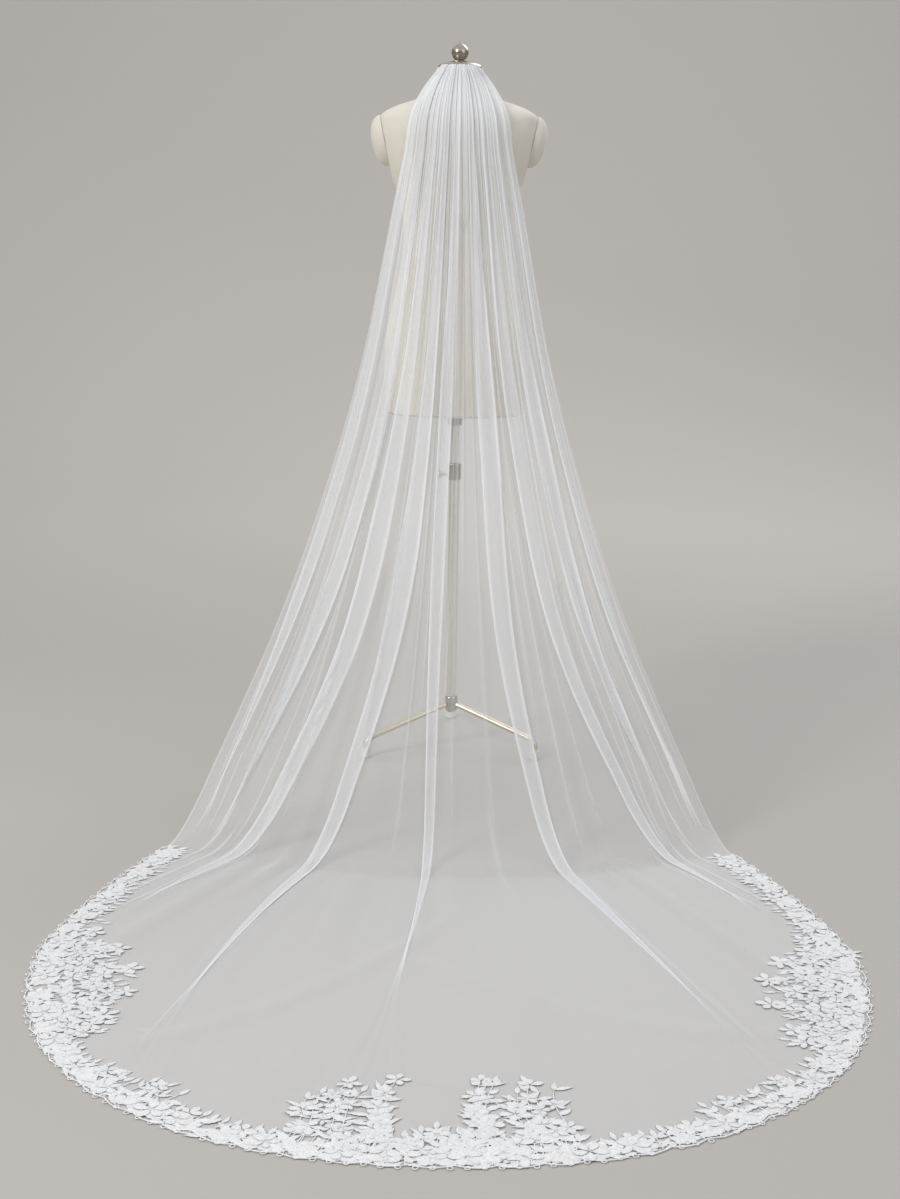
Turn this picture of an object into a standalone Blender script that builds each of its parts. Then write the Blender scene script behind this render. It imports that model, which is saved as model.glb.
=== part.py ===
"""A bridal veil of white tulle with a lace border, on the limbless dress form that it rests on.

The veil is gathered on a comb at the back of the form's neck, falls over the back to the floor and
ends in a rounded train. Metres, +Z up. The train runs towards -Y, so a viewer behind the form looks
along +Y. Everything is drawn round the pole's axis at x = y = 0, and the last lines move the whole
so that its origin lies on the floor under the middle of its box.
"""

import bpy
import bmesh
import numpy as np
from mathutils import Vector, geometry

# Veil: driving dimensions
WALL = 0.001
VEIL_TOP = 1.628
BEND_START = 0.07
BEND_END = 0.06
TRAIN_HALF_WIDTH = 0.727
SIDE_EDGE_END = 1.28
TRAIN_REACH = 2.015
TRAIN_SQUARENESS = 2.2
SIDE_EDGE_BULGE = 0.08
FLAT_SPACING = 0.006
HEM_SPACING = 0.034
STEP_DOWN = 0.015

# Height, half width, depth behind the pole at the middle and at the side edges
SECTION_COLUMNS = ("height", "half_width", "middle_depth", "edge_depth")
SECTIONS = (
    (0.000, 0.566, 0.832, 0.712),
    (0.120, 0.515, 0.762, 0.660),
    (0.240, 0.460, 0.690, 0.605),
    (0.400, 0.390, 0.600, 0.525),
    (0.560, 0.330, 0.505, 0.435),
    (0.700, 0.285, 0.425, 0.360),
    (0.850, 0.242, 0.342, 0.285),
    (1.000, 0.206, 0.270, 0.215),
    (1.130, 0.181, 0.218, 0.172),
    (1.250, 0.159, 0.180, 0.138),
    (1.340, 0.142, 0.160, 0.122),
    (1.430, 0.124, 0.146, 0.110),
    (1.525, 0.108, 0.122, 0.094),
    (1.560, 0.093, 0.096, 0.062),
    (1.600, 0.071, 0.075, 0.036),
    (1.628, 0.056, 0.067, 0.029),
)

# Place across the half width at five levels, full band width, side that lies on top, end of the tail
FOLD_COLUMNS = ("neck", "hip", "knee", "floor", "hem", "width", "lean", "tail")
FOLDS = (
    (-0.88, -0.90, -0.92, -0.94, -0.97, 0.026, 1, 0.00),
    (-0.66, -0.67, -0.75, -0.86, -0.935, 0.038, -1, 0.06),
    (-0.44, -0.49, -0.54, -0.72, -0.90, 0.046, 1, 0.50),
    (-0.22, -0.27, -0.32, -0.45, -0.41, 0.046, -1, 0.80),
    (0.00, -0.09, -0.095, -0.075, -0.105, 0.028, 1, 0.58),
    (0.22, 0.29, 0.285, 0.37, 0.445, 0.042, -1, 0.80),
    (0.44, 0.54, 0.575, 0.75, 0.83, 0.036, 1, 0.46),
    (0.66, 0.74, 0.75, 0.87, 0.93, 0.034, -1, 0.06),
    (0.88, 0.91, 0.91, 0.95, 0.97, 0.022, 1, 0.00),
)
FOLD_LEVELS = (1.628, 0.80, 0.45, 0.0, -1.0)

# Level and distance between a fold's layers, level and height of the waves between folds
LAYER_GAPS = ((-0.05, 0.003), (0.15, 0.006), (1.2, 0.006), (1.6, 0.0023))
WAVE_HEIGHTS = ((0.45, 0.0), (0.85, 0.0025), (1.2, 0.0045), (1.5, 0.0028), (1.628, 0.0011))

HANGING_ROWS = (1.628, 1.60, 1.565, 1.525, 1.46, 1.37, 1.25, 1.09, 0.91, 0.73, 0.55, 0.37, 0.20, 0.07)
BEND_ROWS = (0.33, 0.67)
FLOOR_ROWS = (0.0, 0.12, 0.27, 0.44, 0.62, 0.80, 1.0)

# Lace: driving dimensions
LACE_LIFT = 0.0013
LACE_THICKNESS = 0.0012
LACE_START = 0.09
LACE_INSET = 0.003
CORD_WIDTH = 0.006
CORD_STEP = 0.075
STEM_WIDTH = 0.0035
STEM_SPACING = 0.104
LEAF_STEP = 0.044
LEAF_LENGTH = 0.042
LEAF_WIDTH = 0.019
BLOSSOM_RADIUS = 0.024
BORDER_DEPTH = 0.050
LENGTH_GAP = 0.0015

# Ribbon and comb, which follow the veil's top edge. Places across are shares of its half width
RIBBON_HALF_WIDTH = 0.93
RIBBON_HEIGHTS = (1.624, 1.614, 1.604)
RIBBON_LIFTS = (-0.0003, -0.0013)
COMB_HALF_WIDTH = 0.60
COMB_BAR = (1.601, 1.612)
COMB_TEETH = 11
TOOTH_HALF_WIDTH = 0.018
TOOTH_END = 1.576
COMB_LIFTS = (-0.0018, -0.0040)

# Sprays, where the lace reaches further in. Columns: place along the edge as a share of its length,
# half length along it, reach beyond the border
SPRAYS = (
    (0.205, 0.27, 0.130),
    (0.345, 0.12, 0.035),
    (0.436, 0.060, 0.185),
    (0.465, 0.045, 0.205),
    (0.523, 0.045, 0.205),
    (0.552, 0.060, 0.190),
    (0.655, 0.12, 0.035),
    (0.795, 0.27, 0.130),
)
LACE_LENGTHS = (
    ("lace_left", 0.000, 0.210),
    ("lace_front_left", 0.210, 0.392),
    ("lace_front", 0.392, 0.596),
    ("lace_front_right", 0.596, 0.790),
    ("lace_right", 0.790, 1.000),
)

# Dress form: height, half width, depth behind and before the pole
FORM_COLUMNS = ("height", "half_width", "back", "front")
FORM_SECTIONS = (
    (0.828, 0.163, 0.118, 0.108),
    (0.900, 0.170, 0.124, 0.112),
    (0.955, 0.171, 0.125, 0.112),
    (1.030, 0.164, 0.117, 0.108),
    (1.120, 0.146, 0.099, 0.099),
    (1.200, 0.130, 0.087, 0.094),
    (1.255, 0.126, 0.083, 0.096),
    (1.310, 0.133, 0.089, 0.110),
    (1.355, 0.146, 0.098, 0.128),
    (1.400, 0.165, 0.107, 0.136),
    (1.450, 0.180, 0.112, 0.126),
    (1.495, 0.186, 0.108, 0.104),
    (1.523, 0.178, 0.098, 0.086),
    (1.540, 0.146, 0.085, 0.072),
    (1.557, 0.096, 0.071, 0.062),
    (1.580, 0.074, 0.060, 0.056),
    (1.603, 0.061, 0.055, 0.052),
    (1.626, 0.053, 0.052, 0.050),
)
HIP_SPANS = slice(0, 3)
SHOULDER_SPANS = slice(8, 12)
FORM_ROUNDNESS = 2.25
FORM_SEGMENTS = 24
ARMHOLE_TOP = (0.1837, 1.520)
ARMHOLE_BOTTOM = (0.1600, 1.4045)
CAP_HALF_DEPTH = 0.047
CAP_BULGE = 0.031
SEAM_GAP = 0.0003

# Stand
TRIPOD_RADIUS = 0.238
LEG_RADIUS = 0.007
POLE_RADIUS = 0.0125
INNER_POLE_RADIUS = 0.010
HUB_RADIUS = 0.016
HUB_TOP = 0.124
COLLAR_BOTTOM = 0.668
COLLAR_TOP = 0.708
COLLAR_RADIUS = 0.0165
SOCKET_BOTTOM = 0.800
KNOB_HEIGHT = 0.680
FORM_BOTTOM = FORM_SECTIONS[0][0]
FORM_TOP = FORM_SECTIONS[-1][0]
PLATE_TOP = 1.6385


def material(name, colour, roughness, metallic=0.0):
    """A plain finish: linear colour, roughness and metallic value."""
    finish = bpy.data.materials.new(name)
    finish.use_nodes = True
    shader = finish.node_tree.nodes["Principled BSDF"]
    shader.inputs["Base Color"].default_value = (*colour, 1.0)
    shader.inputs["Roughness"].default_value = roughness
    shader.inputs["Metallic"].default_value = metallic
    return finish


def solid(name, points, faces, finish, smooth=True, sharp_angle=35.0):
    """One closed mesh object from points and faces, its faces turned outward."""
    shell = bmesh.new()
    corners = [shell.verts.new(point) for point in points]
    for face in faces:
        shell.faces.new([corners[i] for i in face])
    bmesh.ops.recalc_face_normals(shell, faces=shell.faces)
    mesh = bpy.data.meshes.new(name)
    shell.to_mesh(mesh)
    shell.free()
    if smooth:
        mesh.shade_smooth()
        mesh.set_sharp_from_angle(angle=np.radians(sharp_angle))
    mesh.materials.append(finish)
    piece = bpy.data.objects.new(name, mesh)
    piece.parent = whole
    bpy.context.collection.objects.link(piece)
    return piece


def smooth(x, xs, ys):
    """A curve through the points (xs, ys): cubic spans whose slopes come from the neighbours."""
    xs, ys = np.asarray(xs, float), np.asarray(ys, float)
    order = np.argsort(xs)
    xs, ys = xs[order], ys[order]
    slopes = np.gradient(ys, xs)
    x = np.clip(x, xs[0], xs[-1])
    span = np.clip(np.searchsorted(xs, x) - 1, 0, len(xs) - 2)
    step = xs[span + 1] - xs[span]
    t = (x - xs[span]) / step
    start = (1 + 2 * t) * (1 - t) ** 2 * ys[span] + t * (1 - t) ** 2 * step * slopes[span]
    end = t * t * (3 - 2 * t) * ys[span + 1] + t * t * (t - 1) * step * slopes[span + 1]
    return start + end


def column(table, names, name):
    """One named column of a table."""
    return [row[names.index(name)] for row in table]


def hanging(across, height):
    """A point of the hanging cloth: the section at that height is a shallow arc, bowed backwards."""
    heights = column(SECTIONS, SECTION_COLUMNS, "height")
    width, middle, edge = (
        smooth(height, heights, column(SECTIONS, SECTION_COLUMNS, name)) for name in SECTION_COLUMNS[1:]
    )
    depth = edge + (middle - edge) * (1 - across**2)
    return np.stack([width * across, -depth, np.full_like(across, height)], axis=-1)


def hem(across):
    """The rounded end of the train: half a superellipse from side edge to side edge."""
    angle = np.pi / 2 * across * (1.17 - 0.17 * across**2)
    power = 2 / TRAIN_SQUARENESS
    x = TRAIN_HALF_WIDTH * np.sign(across) * np.abs(np.sin(angle)) ** power
    y = -SIDE_EDGE_END - (TRAIN_REACH - SIDE_EDGE_END) * np.abs(np.cos(angle)) ** power
    return np.stack([x, y, np.zeros_like(x)], axis=-1)


def on_floor(across, along):
    """The train: from the line where the cloth meets the floor, along 0, to the hem, along 1."""
    point = hanging(across, 0.0) * (1 - along) + hem(across) * along
    point[..., 0] += SIDE_EDGE_BULGE * along * (1 - along) * across * np.abs(across)
    return point


def cloth(across, way):
    """The veil without its folds. way runs 0 to 1 down the hanging cloth, 1 to 2 round the bend at
    the floor, where each line follows a quadratic curve, and 2 to 3 along the train."""
    if way <= 1:
        return hanging(across, VEIL_TOP + (BEND_START - VEIL_TOP) * way)
    if way >= 2:
        return on_floor(across, BEND_END + (1 - BEND_END) * (way - 2))
    t = way - 1
    above, corner, beyond = hanging(across, BEND_START), hanging(across, 0.0), on_floor(across, BEND_END)
    return (1 - t) ** 2 * above + 2 * t * (1 - t) * corner + t**2 * beyond


def cloth_frame(across, way):
    """Points of the cloth without folds and the directions that point out of it."""
    step = 1e-4
    before, after = max(way - step, 0.0), min(way + step, 3.0)
    sideways = cloth(across + step, way) - cloth(across - step, way)
    onwards = cloth(across, after) - cloth(across, before)
    out = np.cross(onwards, sideways)
    out /= np.linalg.norm(out, axis=-1, keepdims=True)
    return cloth(across, way), out


def level(way):
    """The fold table's level: the height while the cloth hangs, then minus the share of the train."""
    if way <= 1:
        return VEIL_TOP + (BEND_START - VEIL_TOP) * way
    if way >= 2:
        return -(BEND_END + (1 - BEND_END) * (way - 2))
    return BEND_START * (2 - way) - BEND_END * (way - 1)


def fold_line(way):
    """The cloth's section at one place: distance across and height off the cloth, folds included.

    Each fold is a knife pleat of three layers. Its corners run out, back and out again over its width.
    At the end of its tail they spread into a flat line, and further apart towards the hem. Between
    folds the cloth is gathered into small waves that fade below the hips.
    """
    here = level(way)
    dense = np.linspace(-1, 1, 401)
    points = cloth(dense, way)
    lengths = np.linalg.norm(np.diff(points, axis=0), axis=1)
    measured = np.concatenate([[0.0], np.cumsum(lengths)])
    measured -= measured[200]
    places = [smooth(here, FOLD_LEVELS, row[:len(FOLD_LEVELS)]) for row in FOLDS]
    centres = np.interp(places, dense, measured)
    share = np.interp(here, (0.9, 1.5), (0.72, 0.40))
    pitch = np.diff(np.concatenate([[measured[0] * 1.02], centres, [measured[-1] * 1.02]]))
    room = share * np.minimum(pitch[:-1], pitch[1:])
    widths = np.minimum(column(FOLDS, FOLD_COLUMNS, "width"), room)
    gap = np.interp(here, *zip(*LAYER_GAPS))
    wave = np.interp(here, *zip(*WAVE_HEIGHTS))

    sides = np.array([-1, 1, 1, -1, -1, 1])
    layers = np.array([0, 0, 1, 1, 2, 2])
    hem_spacing = np.minimum(HEM_SPACING, 0.15 * np.minimum(pitch[:-1], pitch[1:]))
    line = [(measured[0], 0.0)]
    for index, row in enumerate(FOLDS):
        tail, lean = row[FOLD_COLUMNS.index("tail")], row[FOLD_COLUMNS.index("lean")]
        if tail > 0:
            closed = 1 - np.interp(-here, (0.5 * tail, tail), (0.0, 1.0))
        else:
            closed = np.interp(here, (0.03, 0.20), (0.0, 1.0))
        spacing = np.interp(-here, (tail, 1.0), (FLAT_SPACING, hem_spacing[index]))
        spread = (np.arange(6) - 2.5) * spacing
        across = centres[index] + closed * widths[index] / 2 * sides + (1 - closed) * spread
        height = min(1.0, 2.5 * closed) * gap * (layers if lean > 0 else layers[::-1])
        last_across, last_height = line[-1]
        span = across[0] - last_across
        if index == 0:
            line.append((last_across + span / 2, 0.0))
        elif span > 2 * STEP_DOWN and last_height + height[0] > 0:
            flat = (last_across + STEP_DOWN, last_across + span / 2, across[0] - STEP_DOWN)
            line.extend((u, 0.0) for u in flat)
        else:
            for part, crest in ((0.25, 2 * wave), (0.5, 0.0), (0.75, 2 * wave)):
                slope = last_height + (height[0] - last_height) * part
                line.append((last_across + span * part, slope + crest))
        line.extend(zip(across, height))
    last_across, last_height = line[-1]
    line.append(((last_across + measured[-1]) / 2, last_height / 2))
    line.append((measured[-1], 0.0))
    return np.array(line), dense, measured


def offset_line(line, distance):
    """A line moved sideways by distance, mitred where it turns."""
    runs = np.diff(line, axis=0)
    normals = np.stack([-runs[:, 1], runs[:, 0]], axis=1)
    normals /= np.linalg.norm(normals, axis=1, keepdims=True)
    before = np.vstack([normals[:1], normals])
    after = np.vstack([normals, normals[-1:]])
    turn = 1 + np.sum(before * after, axis=1, keepdims=True)
    return line + distance * (before + after) / np.maximum(turn, 0.5)


def veil_row(way, side):
    """Points along one row of the veil's outer (side 1) or inner (side -1) face."""
    line, dense, measured = fold_line(way)
    line[:, 1] += WALL / 2
    moved = offset_line(line, side * WALL / 2)
    across = np.interp(moved[:, 0], measured, dense)
    points, out = cloth_frame(across, way)
    return points + out * moved[:, 1:2]


def shell_faces(rows, columns):
    """Faces of a closed wall whose two faces are grids of rows by columns, outer grid first."""
    index = np.arange(rows * columns).reshape(rows, columns)
    back = index + rows * columns
    quads = [
        (index[i, j], index[i, j + 1], index[i + 1, j + 1], index[i + 1, j])
        for i in range(rows - 1)
        for j in range(columns - 1)
    ]
    quads += [
        (back[i, j], back[i + 1, j], back[i + 1, j + 1], back[i, j + 1])
        for i in range(rows - 1)
        for j in range(columns - 1)
    ]
    rim = [*index[0, :-1], *index[:-1, -1], *index[-1, :0:-1], *index[:0:-1, 0]]
    for here, there in zip(rim, rim[1:] + rim[:1]):
        quads.append((here, here + rows * columns, there + rows * columns, there))
    return quads


def make_veil(finish):
    """The tulle: one wall through rows of the folded section, from the neck to the hem."""
    ways = [(VEIL_TOP - height) / (VEIL_TOP - BEND_START) for height in HANGING_ROWS]
    ways += [1 + part for part in BEND_ROWS]
    ways += [2 + part for part in FLOOR_ROWS]
    outer = np.array([veil_row(way, 1) for way in ways])
    inner = np.array([veil_row(way, -1) for way in ways])
    rows, columns = outer.shape[:2]
    points = np.vstack([outer.reshape(-1, 3), inner.reshape(-1, 3)])
    return solid("veil_tulle", points, shell_faces(rows, columns), finish, sharp_angle=60.0)


def make_ribbon(finish):
    """The ribbon that binds the gathers, on the inner side of the veil's top edge."""
    across = np.linspace(-RIBBON_HALF_WIDTH, RIBBON_HALF_WIDTH, 17)
    grids = []
    for lift in RIBBON_LIFTS:
        for height in RIBBON_HEIGHTS:
            points, out = cloth_frame(across, (VEIL_TOP - height) / (VEIL_TOP - BEND_START))
            grids.append(points + out * lift)
    points = np.array(grids).reshape(-1, 3)
    return solid("gather_ribbon", points, shell_faces(len(RIBBON_HEIGHTS), len(across)), finish)


def joined_outline(shapes):
    """Flat triangles that cover the union of several outlines, as one connected region."""
    corners, loops = [], []
    for shape in shapes:
        area = sum(a[0] * b[1] - b[0] * a[1] for a, b in zip(shape, shape[1:] + shape[:1]))
        shape = shape if area > 0 else shape[::-1]
        loops.append(list(range(len(corners), len(corners) + len(shape))))
        corners += [Vector(point) for point in shape]
    points, _, faces, _, _, sources = geometry.delaunay_2d_cdt(corners, [], loops, 0, 0.0003)
    faces = [list(face) for face, source in zip(faces, sources) if source]
    faces = largest_group(faces)
    while True:
        crowded = pinched_points(faces)
        if not crowded:
            break
        faces = largest_group([face for face in faces if not crowded & set(face)])
    used = sorted({i for face in faces for i in face})
    renumber = {old: new for new, old in enumerate(used)}
    return [tuple(points[i]) for i in used], [[renumber[i] for i in face] for face in faces]


def boundary_edges(faces):
    """Directed edges that belong to one face only."""
    edges = {(a, b) for face in faces for a, b in zip(face, face[1:] + face[:1])}
    return [(a, b) for a, b in edges if (b, a) not in edges]


def pinched_points(faces):
    """Points where the region's boundary touches itself."""
    starts = [a for a, _ in boundary_edges(faces)]
    return {point for point in set(starts) if starts.count(point) > 1}


def largest_group(faces):
    """The largest set of faces that hang together edge to edge."""
    owner = {}
    for number, face in enumerate(faces):
        for a, b in zip(face, face[1:] + face[:1]):
            owner.setdefault(frozenset((a, b)), []).append(number)
    neighbours = {number: set() for number in range(len(faces))}
    for group in owner.values():
        for number in group:
            neighbours[number].update(group)
    seen, best = set(), []
    for start in range(len(faces)):
        if start in seen:
            continue
        group, todo = [], [start]
        seen.add(start)
        while todo:
            number = todo.pop()
            group.append(number)
            for other in neighbours[number] - seen:
                seen.add(other)
                todo.append(other)
        best = group if len(group) > len(best) else best
    return [faces[number] for number in sorted(best)]


def plate(name, shapes, place, finish):
    """A thin plate with the joined outline of shapes. place turns flat points into the points of the
    plate's outer and inner faces."""
    flat, faces = joined_outline(shapes)
    outer, inner = place(np.array(flat))
    count = len(flat)
    all_faces = [tuple(face) for face in faces]
    all_faces += [tuple(i + count for i in face[::-1]) for face in faces]
    all_faces += [(a, b, b + count, a + count) for a, b in boundary_edges(faces)]
    return solid(name, np.vstack([outer, inner]), all_faces, finish, smooth=False)


def rectangle(left, right, low, high):
    """An upright rectangle's corners."""
    return [(left, low), (right, low), (right, high), (left, high)]


def make_comb(finish):
    """The comb: a bar with teeth, bent to the neck on the inner side of the ribbon."""
    bar_low, bar_high = COMB_BAR
    shapes = [rectangle(-COMB_HALF_WIDTH, COMB_HALF_WIDTH, bar_low, bar_high)]
    last_tooth = COMB_HALF_WIDTH - 2 * TOOTH_HALF_WIDTH
    for middle in np.linspace(-last_tooth, last_tooth, COMB_TEETH):
        left, right = middle - TOOTH_HALF_WIDTH, middle + TOOTH_HALF_WIDTH
        shapes.append(rectangle(left, right, TOOTH_END, bar_low + 0.001))

    def bend(flat):
        faces = []
        for lift in COMB_LIFTS:
            rows = [cloth_frame(np.array([a]), (VEIL_TOP - z) / (VEIL_TOP - BEND_START)) for a, z in flat]
            faces.append(np.array([points[0] + out[0] * lift for points, out in rows]))
        return faces

    return plate("comb", shapes, bend, finish)


def train_edge():
    """The edge of the train from the left side's first touch of the floor round to the right's:
    points, the directions into the cloth and the distance along the edge."""
    along = np.linspace(LACE_START, 1, 60)
    left = np.array([on_floor(np.array([-1.0]), t)[0] for t in along])
    round_end = hem(np.linspace(-1, 1, 241))[1:-1]
    right = left[::-1] * (-1, 1, 1)
    points = np.vstack([left, round_end, right])[:, :2]
    runs = np.gradient(points, axis=0)
    runs /= np.linalg.norm(runs, axis=1, keepdims=True)
    inward = np.stack([-runs[:, 1], runs[:, 0]], axis=1)
    distance = np.concatenate([[0.0], np.cumsum(np.linalg.norm(np.diff(points, axis=0), axis=1))])
    return points, inward, distance


def leaf(base, direction, length, width):
    """A leaf's outline: two arcs' chords from its base to its tip."""
    side = np.array([-direction[1], direction[0]])
    outline = [(0, 0), (0.45, -0.5), (1, 0), (0.45, 0.5)]
    return [tuple(base + direction * length * u + side * width * v) for u, v in outline]


def blossom(centre, direction, radius):
    """A five-petalled blossom's outline: the radius swings between petal tips and notches."""
    turn = np.arctan2(direction[1], direction[0])
    angles = turn + np.arange(10) * np.pi / 5
    reach = radius * np.where(np.arange(10) % 2 == 0, 1.0, 0.62)
    return [(centre[0] + r * np.cos(a), centre[1] + r * np.sin(a)) for r, a in zip(reach, angles)]


def lace_shapes(start, end):
    """Outlines of the lace between two places along the edge: a cord along the edge, stems that run
    in from it, leaves in pairs on the stems and blossoms at their ends."""
    points, inward, distance = train_edge()
    total = distance[-1]

    def spot(place, depth):
        base = np.array([np.interp(place, distance, points[:, i]) for i in (0, 1)])
        into = np.array([np.interp(place, distance, inward[:, i]) for i in (0, 1)])
        into /= np.linalg.norm(into)
        return base + into * depth, into

    first, last = start * total + LENGTH_GAP, end * total - LENGTH_GAP
    places = np.linspace(first, last, int((last - first) / CORD_STEP))
    outer_side = [tuple(spot(place, LACE_INSET)[0]) for place in places]
    inner_side = [tuple(spot(place, LACE_INSET + CORD_WIDTH)[0]) for place in places]
    shapes = [outer_side + inner_side[::-1]]
    count = int(round((last - first) / STEM_SPACING))
    for number in range(count):
        place = first + (number + 0.5) * (last - first) / count
        reach = BORDER_DEPTH + sum(
            rise * max(0.0, 1 - ((place - middle * total) / half) ** 2) for middle, half, rise in SPRAYS
        )
        root, into = spot(place, LACE_INSET + CORD_WIDTH / 2)
        along = np.array([-into[1], into[0]])
        steps = max(1, int(reach / LEAF_STEP))
        tip, _ = spot(place, reach)
        half = along * STEM_WIDTH / 2
        shapes.append([tuple(root - half), tuple(root + half), tuple(tip + half), tuple(tip - half)])
        for step in range(steps):
            middle, _ = spot(place, LACE_INSET + 0.008 + step * LEAF_STEP)
            for side in (-1, 1):
                direction = into * 0.55 + along * side * 0.84
                shapes.append(leaf(middle, direction, LEAF_LENGTH, LEAF_WIDTH))
        head, _ = spot(place, reach - BLOSSOM_RADIUS * 0.4)
        shapes.append(blossom(head, into, BLOSSOM_RADIUS))
    return shapes


def make_lace(finish):
    """The lace border in five lengths, lying just above the tulle."""

    def lay(flat):
        upper = np.column_stack([flat, np.full(len(flat), LACE_LIFT + LACE_THICKNESS)])
        lower = np.column_stack([flat, np.full(len(flat), LACE_LIFT)])
        return upper, lower

    for name, start, end in LACE_LENGTHS:
        plate(name, lace_shapes(start, end), lay, finish)


def make_torso(finish):
    """The form's body: superellipse rings from the flat underside to the neck, cut flat at the
    armholes."""
    heights = np.array(column(FORM_SECTIONS, FORM_COLUMNS, "height"))
    between = (heights[1:] + heights[:-1]) / 2
    rows = np.sort(np.concatenate([heights, between[HIP_SPANS], between[SHOULDER_SPANS]]))
    width, back, front = (
        smooth(rows, heights, column(FORM_SECTIONS, FORM_COLUMNS, name)) for name in FORM_COLUMNS[1:]
    )
    turn = np.arange(FORM_SEGMENTS) * 2 * np.pi / FORM_SEGMENTS
    power = 2 / FORM_ROUNDNESS
    side = np.sign(np.cos(turn)) * np.abs(np.cos(turn)) ** power
    depth = np.sign(np.sin(turn)) * np.abs(np.sin(turn)) ** power
    x = width[:, None] * side
    y = np.where(depth > 0, front[:, None], back[:, None]) * depth
    z = np.repeat(rows[:, None], FORM_SEGMENTS, axis=1)
    points = np.stack([x, y, z], axis=-1).reshape(-1, 3)
    index = np.arange(len(points)).reshape(len(rows), FORM_SEGMENTS)
    after = np.roll(index, -1, axis=1)
    faces = [
        (index[i, j], after[i, j], after[i + 1, j], index[i + 1, j])
        for i in range(len(rows) - 1)
        for j in range(FORM_SEGMENTS)
    ]
    faces += [tuple(index[0, ::-1]), tuple(index[-1])]
    torso = solid("form_torso", points, faces, finish)
    for side, word in ((-1, "left"), (1, "right")):
        cut = torso.modifiers.new("armhole_" + word, "BOOLEAN")
        cut.operation = "DIFFERENCE"
        cut.object = armhole_cutter(side, word, finish)
    return torso


def armhole_plane(side):
    """An armhole's centre, its upward direction, its outward direction and half its height."""
    top = np.array([side * ARMHOLE_TOP[0], 0.0, ARMHOLE_TOP[1]])
    bottom = np.array([side * ARMHOLE_BOTTOM[0], 0.0, ARMHOLE_BOTTOM[1]])
    up = top - bottom
    up /= np.linalg.norm(up)
    out = np.array([side * up[2], 0.0, -side * up[0]])
    return (top + bottom) / 2, up, out, np.linalg.norm(top - bottom) / 2


def armhole_cutter(side, word, finish):
    """A box outside the armhole's plane, which cuts the body flat there."""
    centre, up, out, _ = armhole_plane(side)
    reach = 0.12
    points = [
        centre + up * reach * u + np.array([0, reach, 0]) * v + out * reach * w
        for w in (0, 1)
        for u, v in ((-1, -1), (1, -1), (1, 1), (-1, 1))
    ]
    faces = [(0, 1, 2, 3), (4, 7, 6, 5), (0, 4, 5, 1), (1, 5, 6, 2), (2, 6, 7, 3), (3, 7, 4, 0)]
    cutter = solid("cutter_" + word, points, faces, finish, smooth=False)
    cutter.hide_render = True
    cutter.display_type = "WIRE"
    return cutter


def make_arm_cap(side, word, finish):
    """A rounded cap on the armhole: rings of an ellipse that shrink by the cosine as they rise by
    the sine."""
    centre, up, out, half_height = armhole_plane(side)
    segments, rings = 16, 4
    turn = np.arange(segments) * 2 * np.pi / segments
    forward = np.array([0.0, 1.0, 0.0])
    points = []
    for rise in np.arange(rings) * np.pi / 2 / rings:
        ring = np.outer(np.cos(turn), up * half_height) + np.outer(np.sin(turn), forward * CAP_HALF_DEPTH)
        points.extend(centre + ring * np.cos(rise) ** 0.8 + out * (SEAM_GAP + CAP_BULGE * np.sin(rise)))
    points.append(centre + out * (SEAM_GAP + CAP_BULGE))
    faces = [tuple(range(segments))]
    for ring in range(rings - 1):
        base = ring * segments
        faces += [
            (base + j, base + (j + 1) % segments, base + segments + (j + 1) % segments, base + segments + j)
            for j in range(segments)
        ]
    base = (rings - 1) * segments
    faces += [(base + j, base + (j + 1) % segments, len(points) - 1) for j in range(segments)]
    return solid("arm_cap_" + word, points, faces, finish)


def turned(name, profile, finish, segments=16, centre=(0.0, 0.0), axis="Z"):
    """A solid turned round an axis from a profile of (radius, place along the axis); the first and
    last radius are 0. The axis is Z, or -X for a piece that points left."""
    turn = np.arange(segments) * 2 * np.pi / segments
    points = [(0.0, 0.0, profile[0][1])]
    for radius, place in profile[1:-1]:
        points += [(radius * np.cos(a), radius * np.sin(a), place) for a in turn]
    points.append((0.0, 0.0, profile[-1][1]))
    points = np.array(points)
    if axis == "-X":
        points = points[:, (2, 0, 1)] * (-1, 1, 1)
    last = len(points) - 1
    faces = [(0, 1 + (j + 1) % segments, 1 + j) for j in range(segments)]
    for ring in range(len(profile) - 3):
        base = 1 + ring * segments
        faces += [
            (base + j, base + (j + 1) % segments, base + segments + (j + 1) % segments, base + segments + j)
            for j in range(segments)
        ]
    base = last - segments
    faces += [(base + j, base + (j + 1) % segments, last) for j in range(segments)]
    piece = solid(name, points, faces, finish)
    piece.location = (*centre, 0.0)
    return piece


def make_leg(number, angle, finish):
    """A tripod leg: circles along a path that slopes down from the hub and turns down into its foot."""
    stations = (
        # distance from the pole, height, downward tilt in degrees
        (HUB_RADIUS + SEAM_GAP, 0.103, 0),
        (0.030, 0.0997, 15),
        (0.217, 0.0500, 15),
        (0.2290, 0.0450, 35),
        (0.2362, 0.0360, 65),
        (TRIPOD_RADIUS, 0.0235, 90),
    )
    segments = 10
    turn = np.arange(segments) * 2 * np.pi / segments
    points = []
    for reach, height, tilt in stations:
        lean = np.radians(tilt)
        rise = LEG_RADIUS * np.cos(turn)
        points += [
            (reach + r * np.sin(lean), LEG_RADIUS * np.sin(a), height + r * np.cos(lean))
            for r, a in zip(rise, turn)
        ]
    faces = [tuple(range(segments)), tuple(range(len(points) - 1, len(points) - segments - 1, -1))]
    for ring in range(len(stations) - 1):
        base = ring * segments
        faces += [
            (base + j, base + (j + 1) % segments, base + segments + (j + 1) % segments, base + segments + j)
            for j in range(segments)
        ]
    leg = solid(f"leg_{number}", points, faces, finish)
    leg.rotation_euler = (0.0, 0.0, angle)
    return leg


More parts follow.
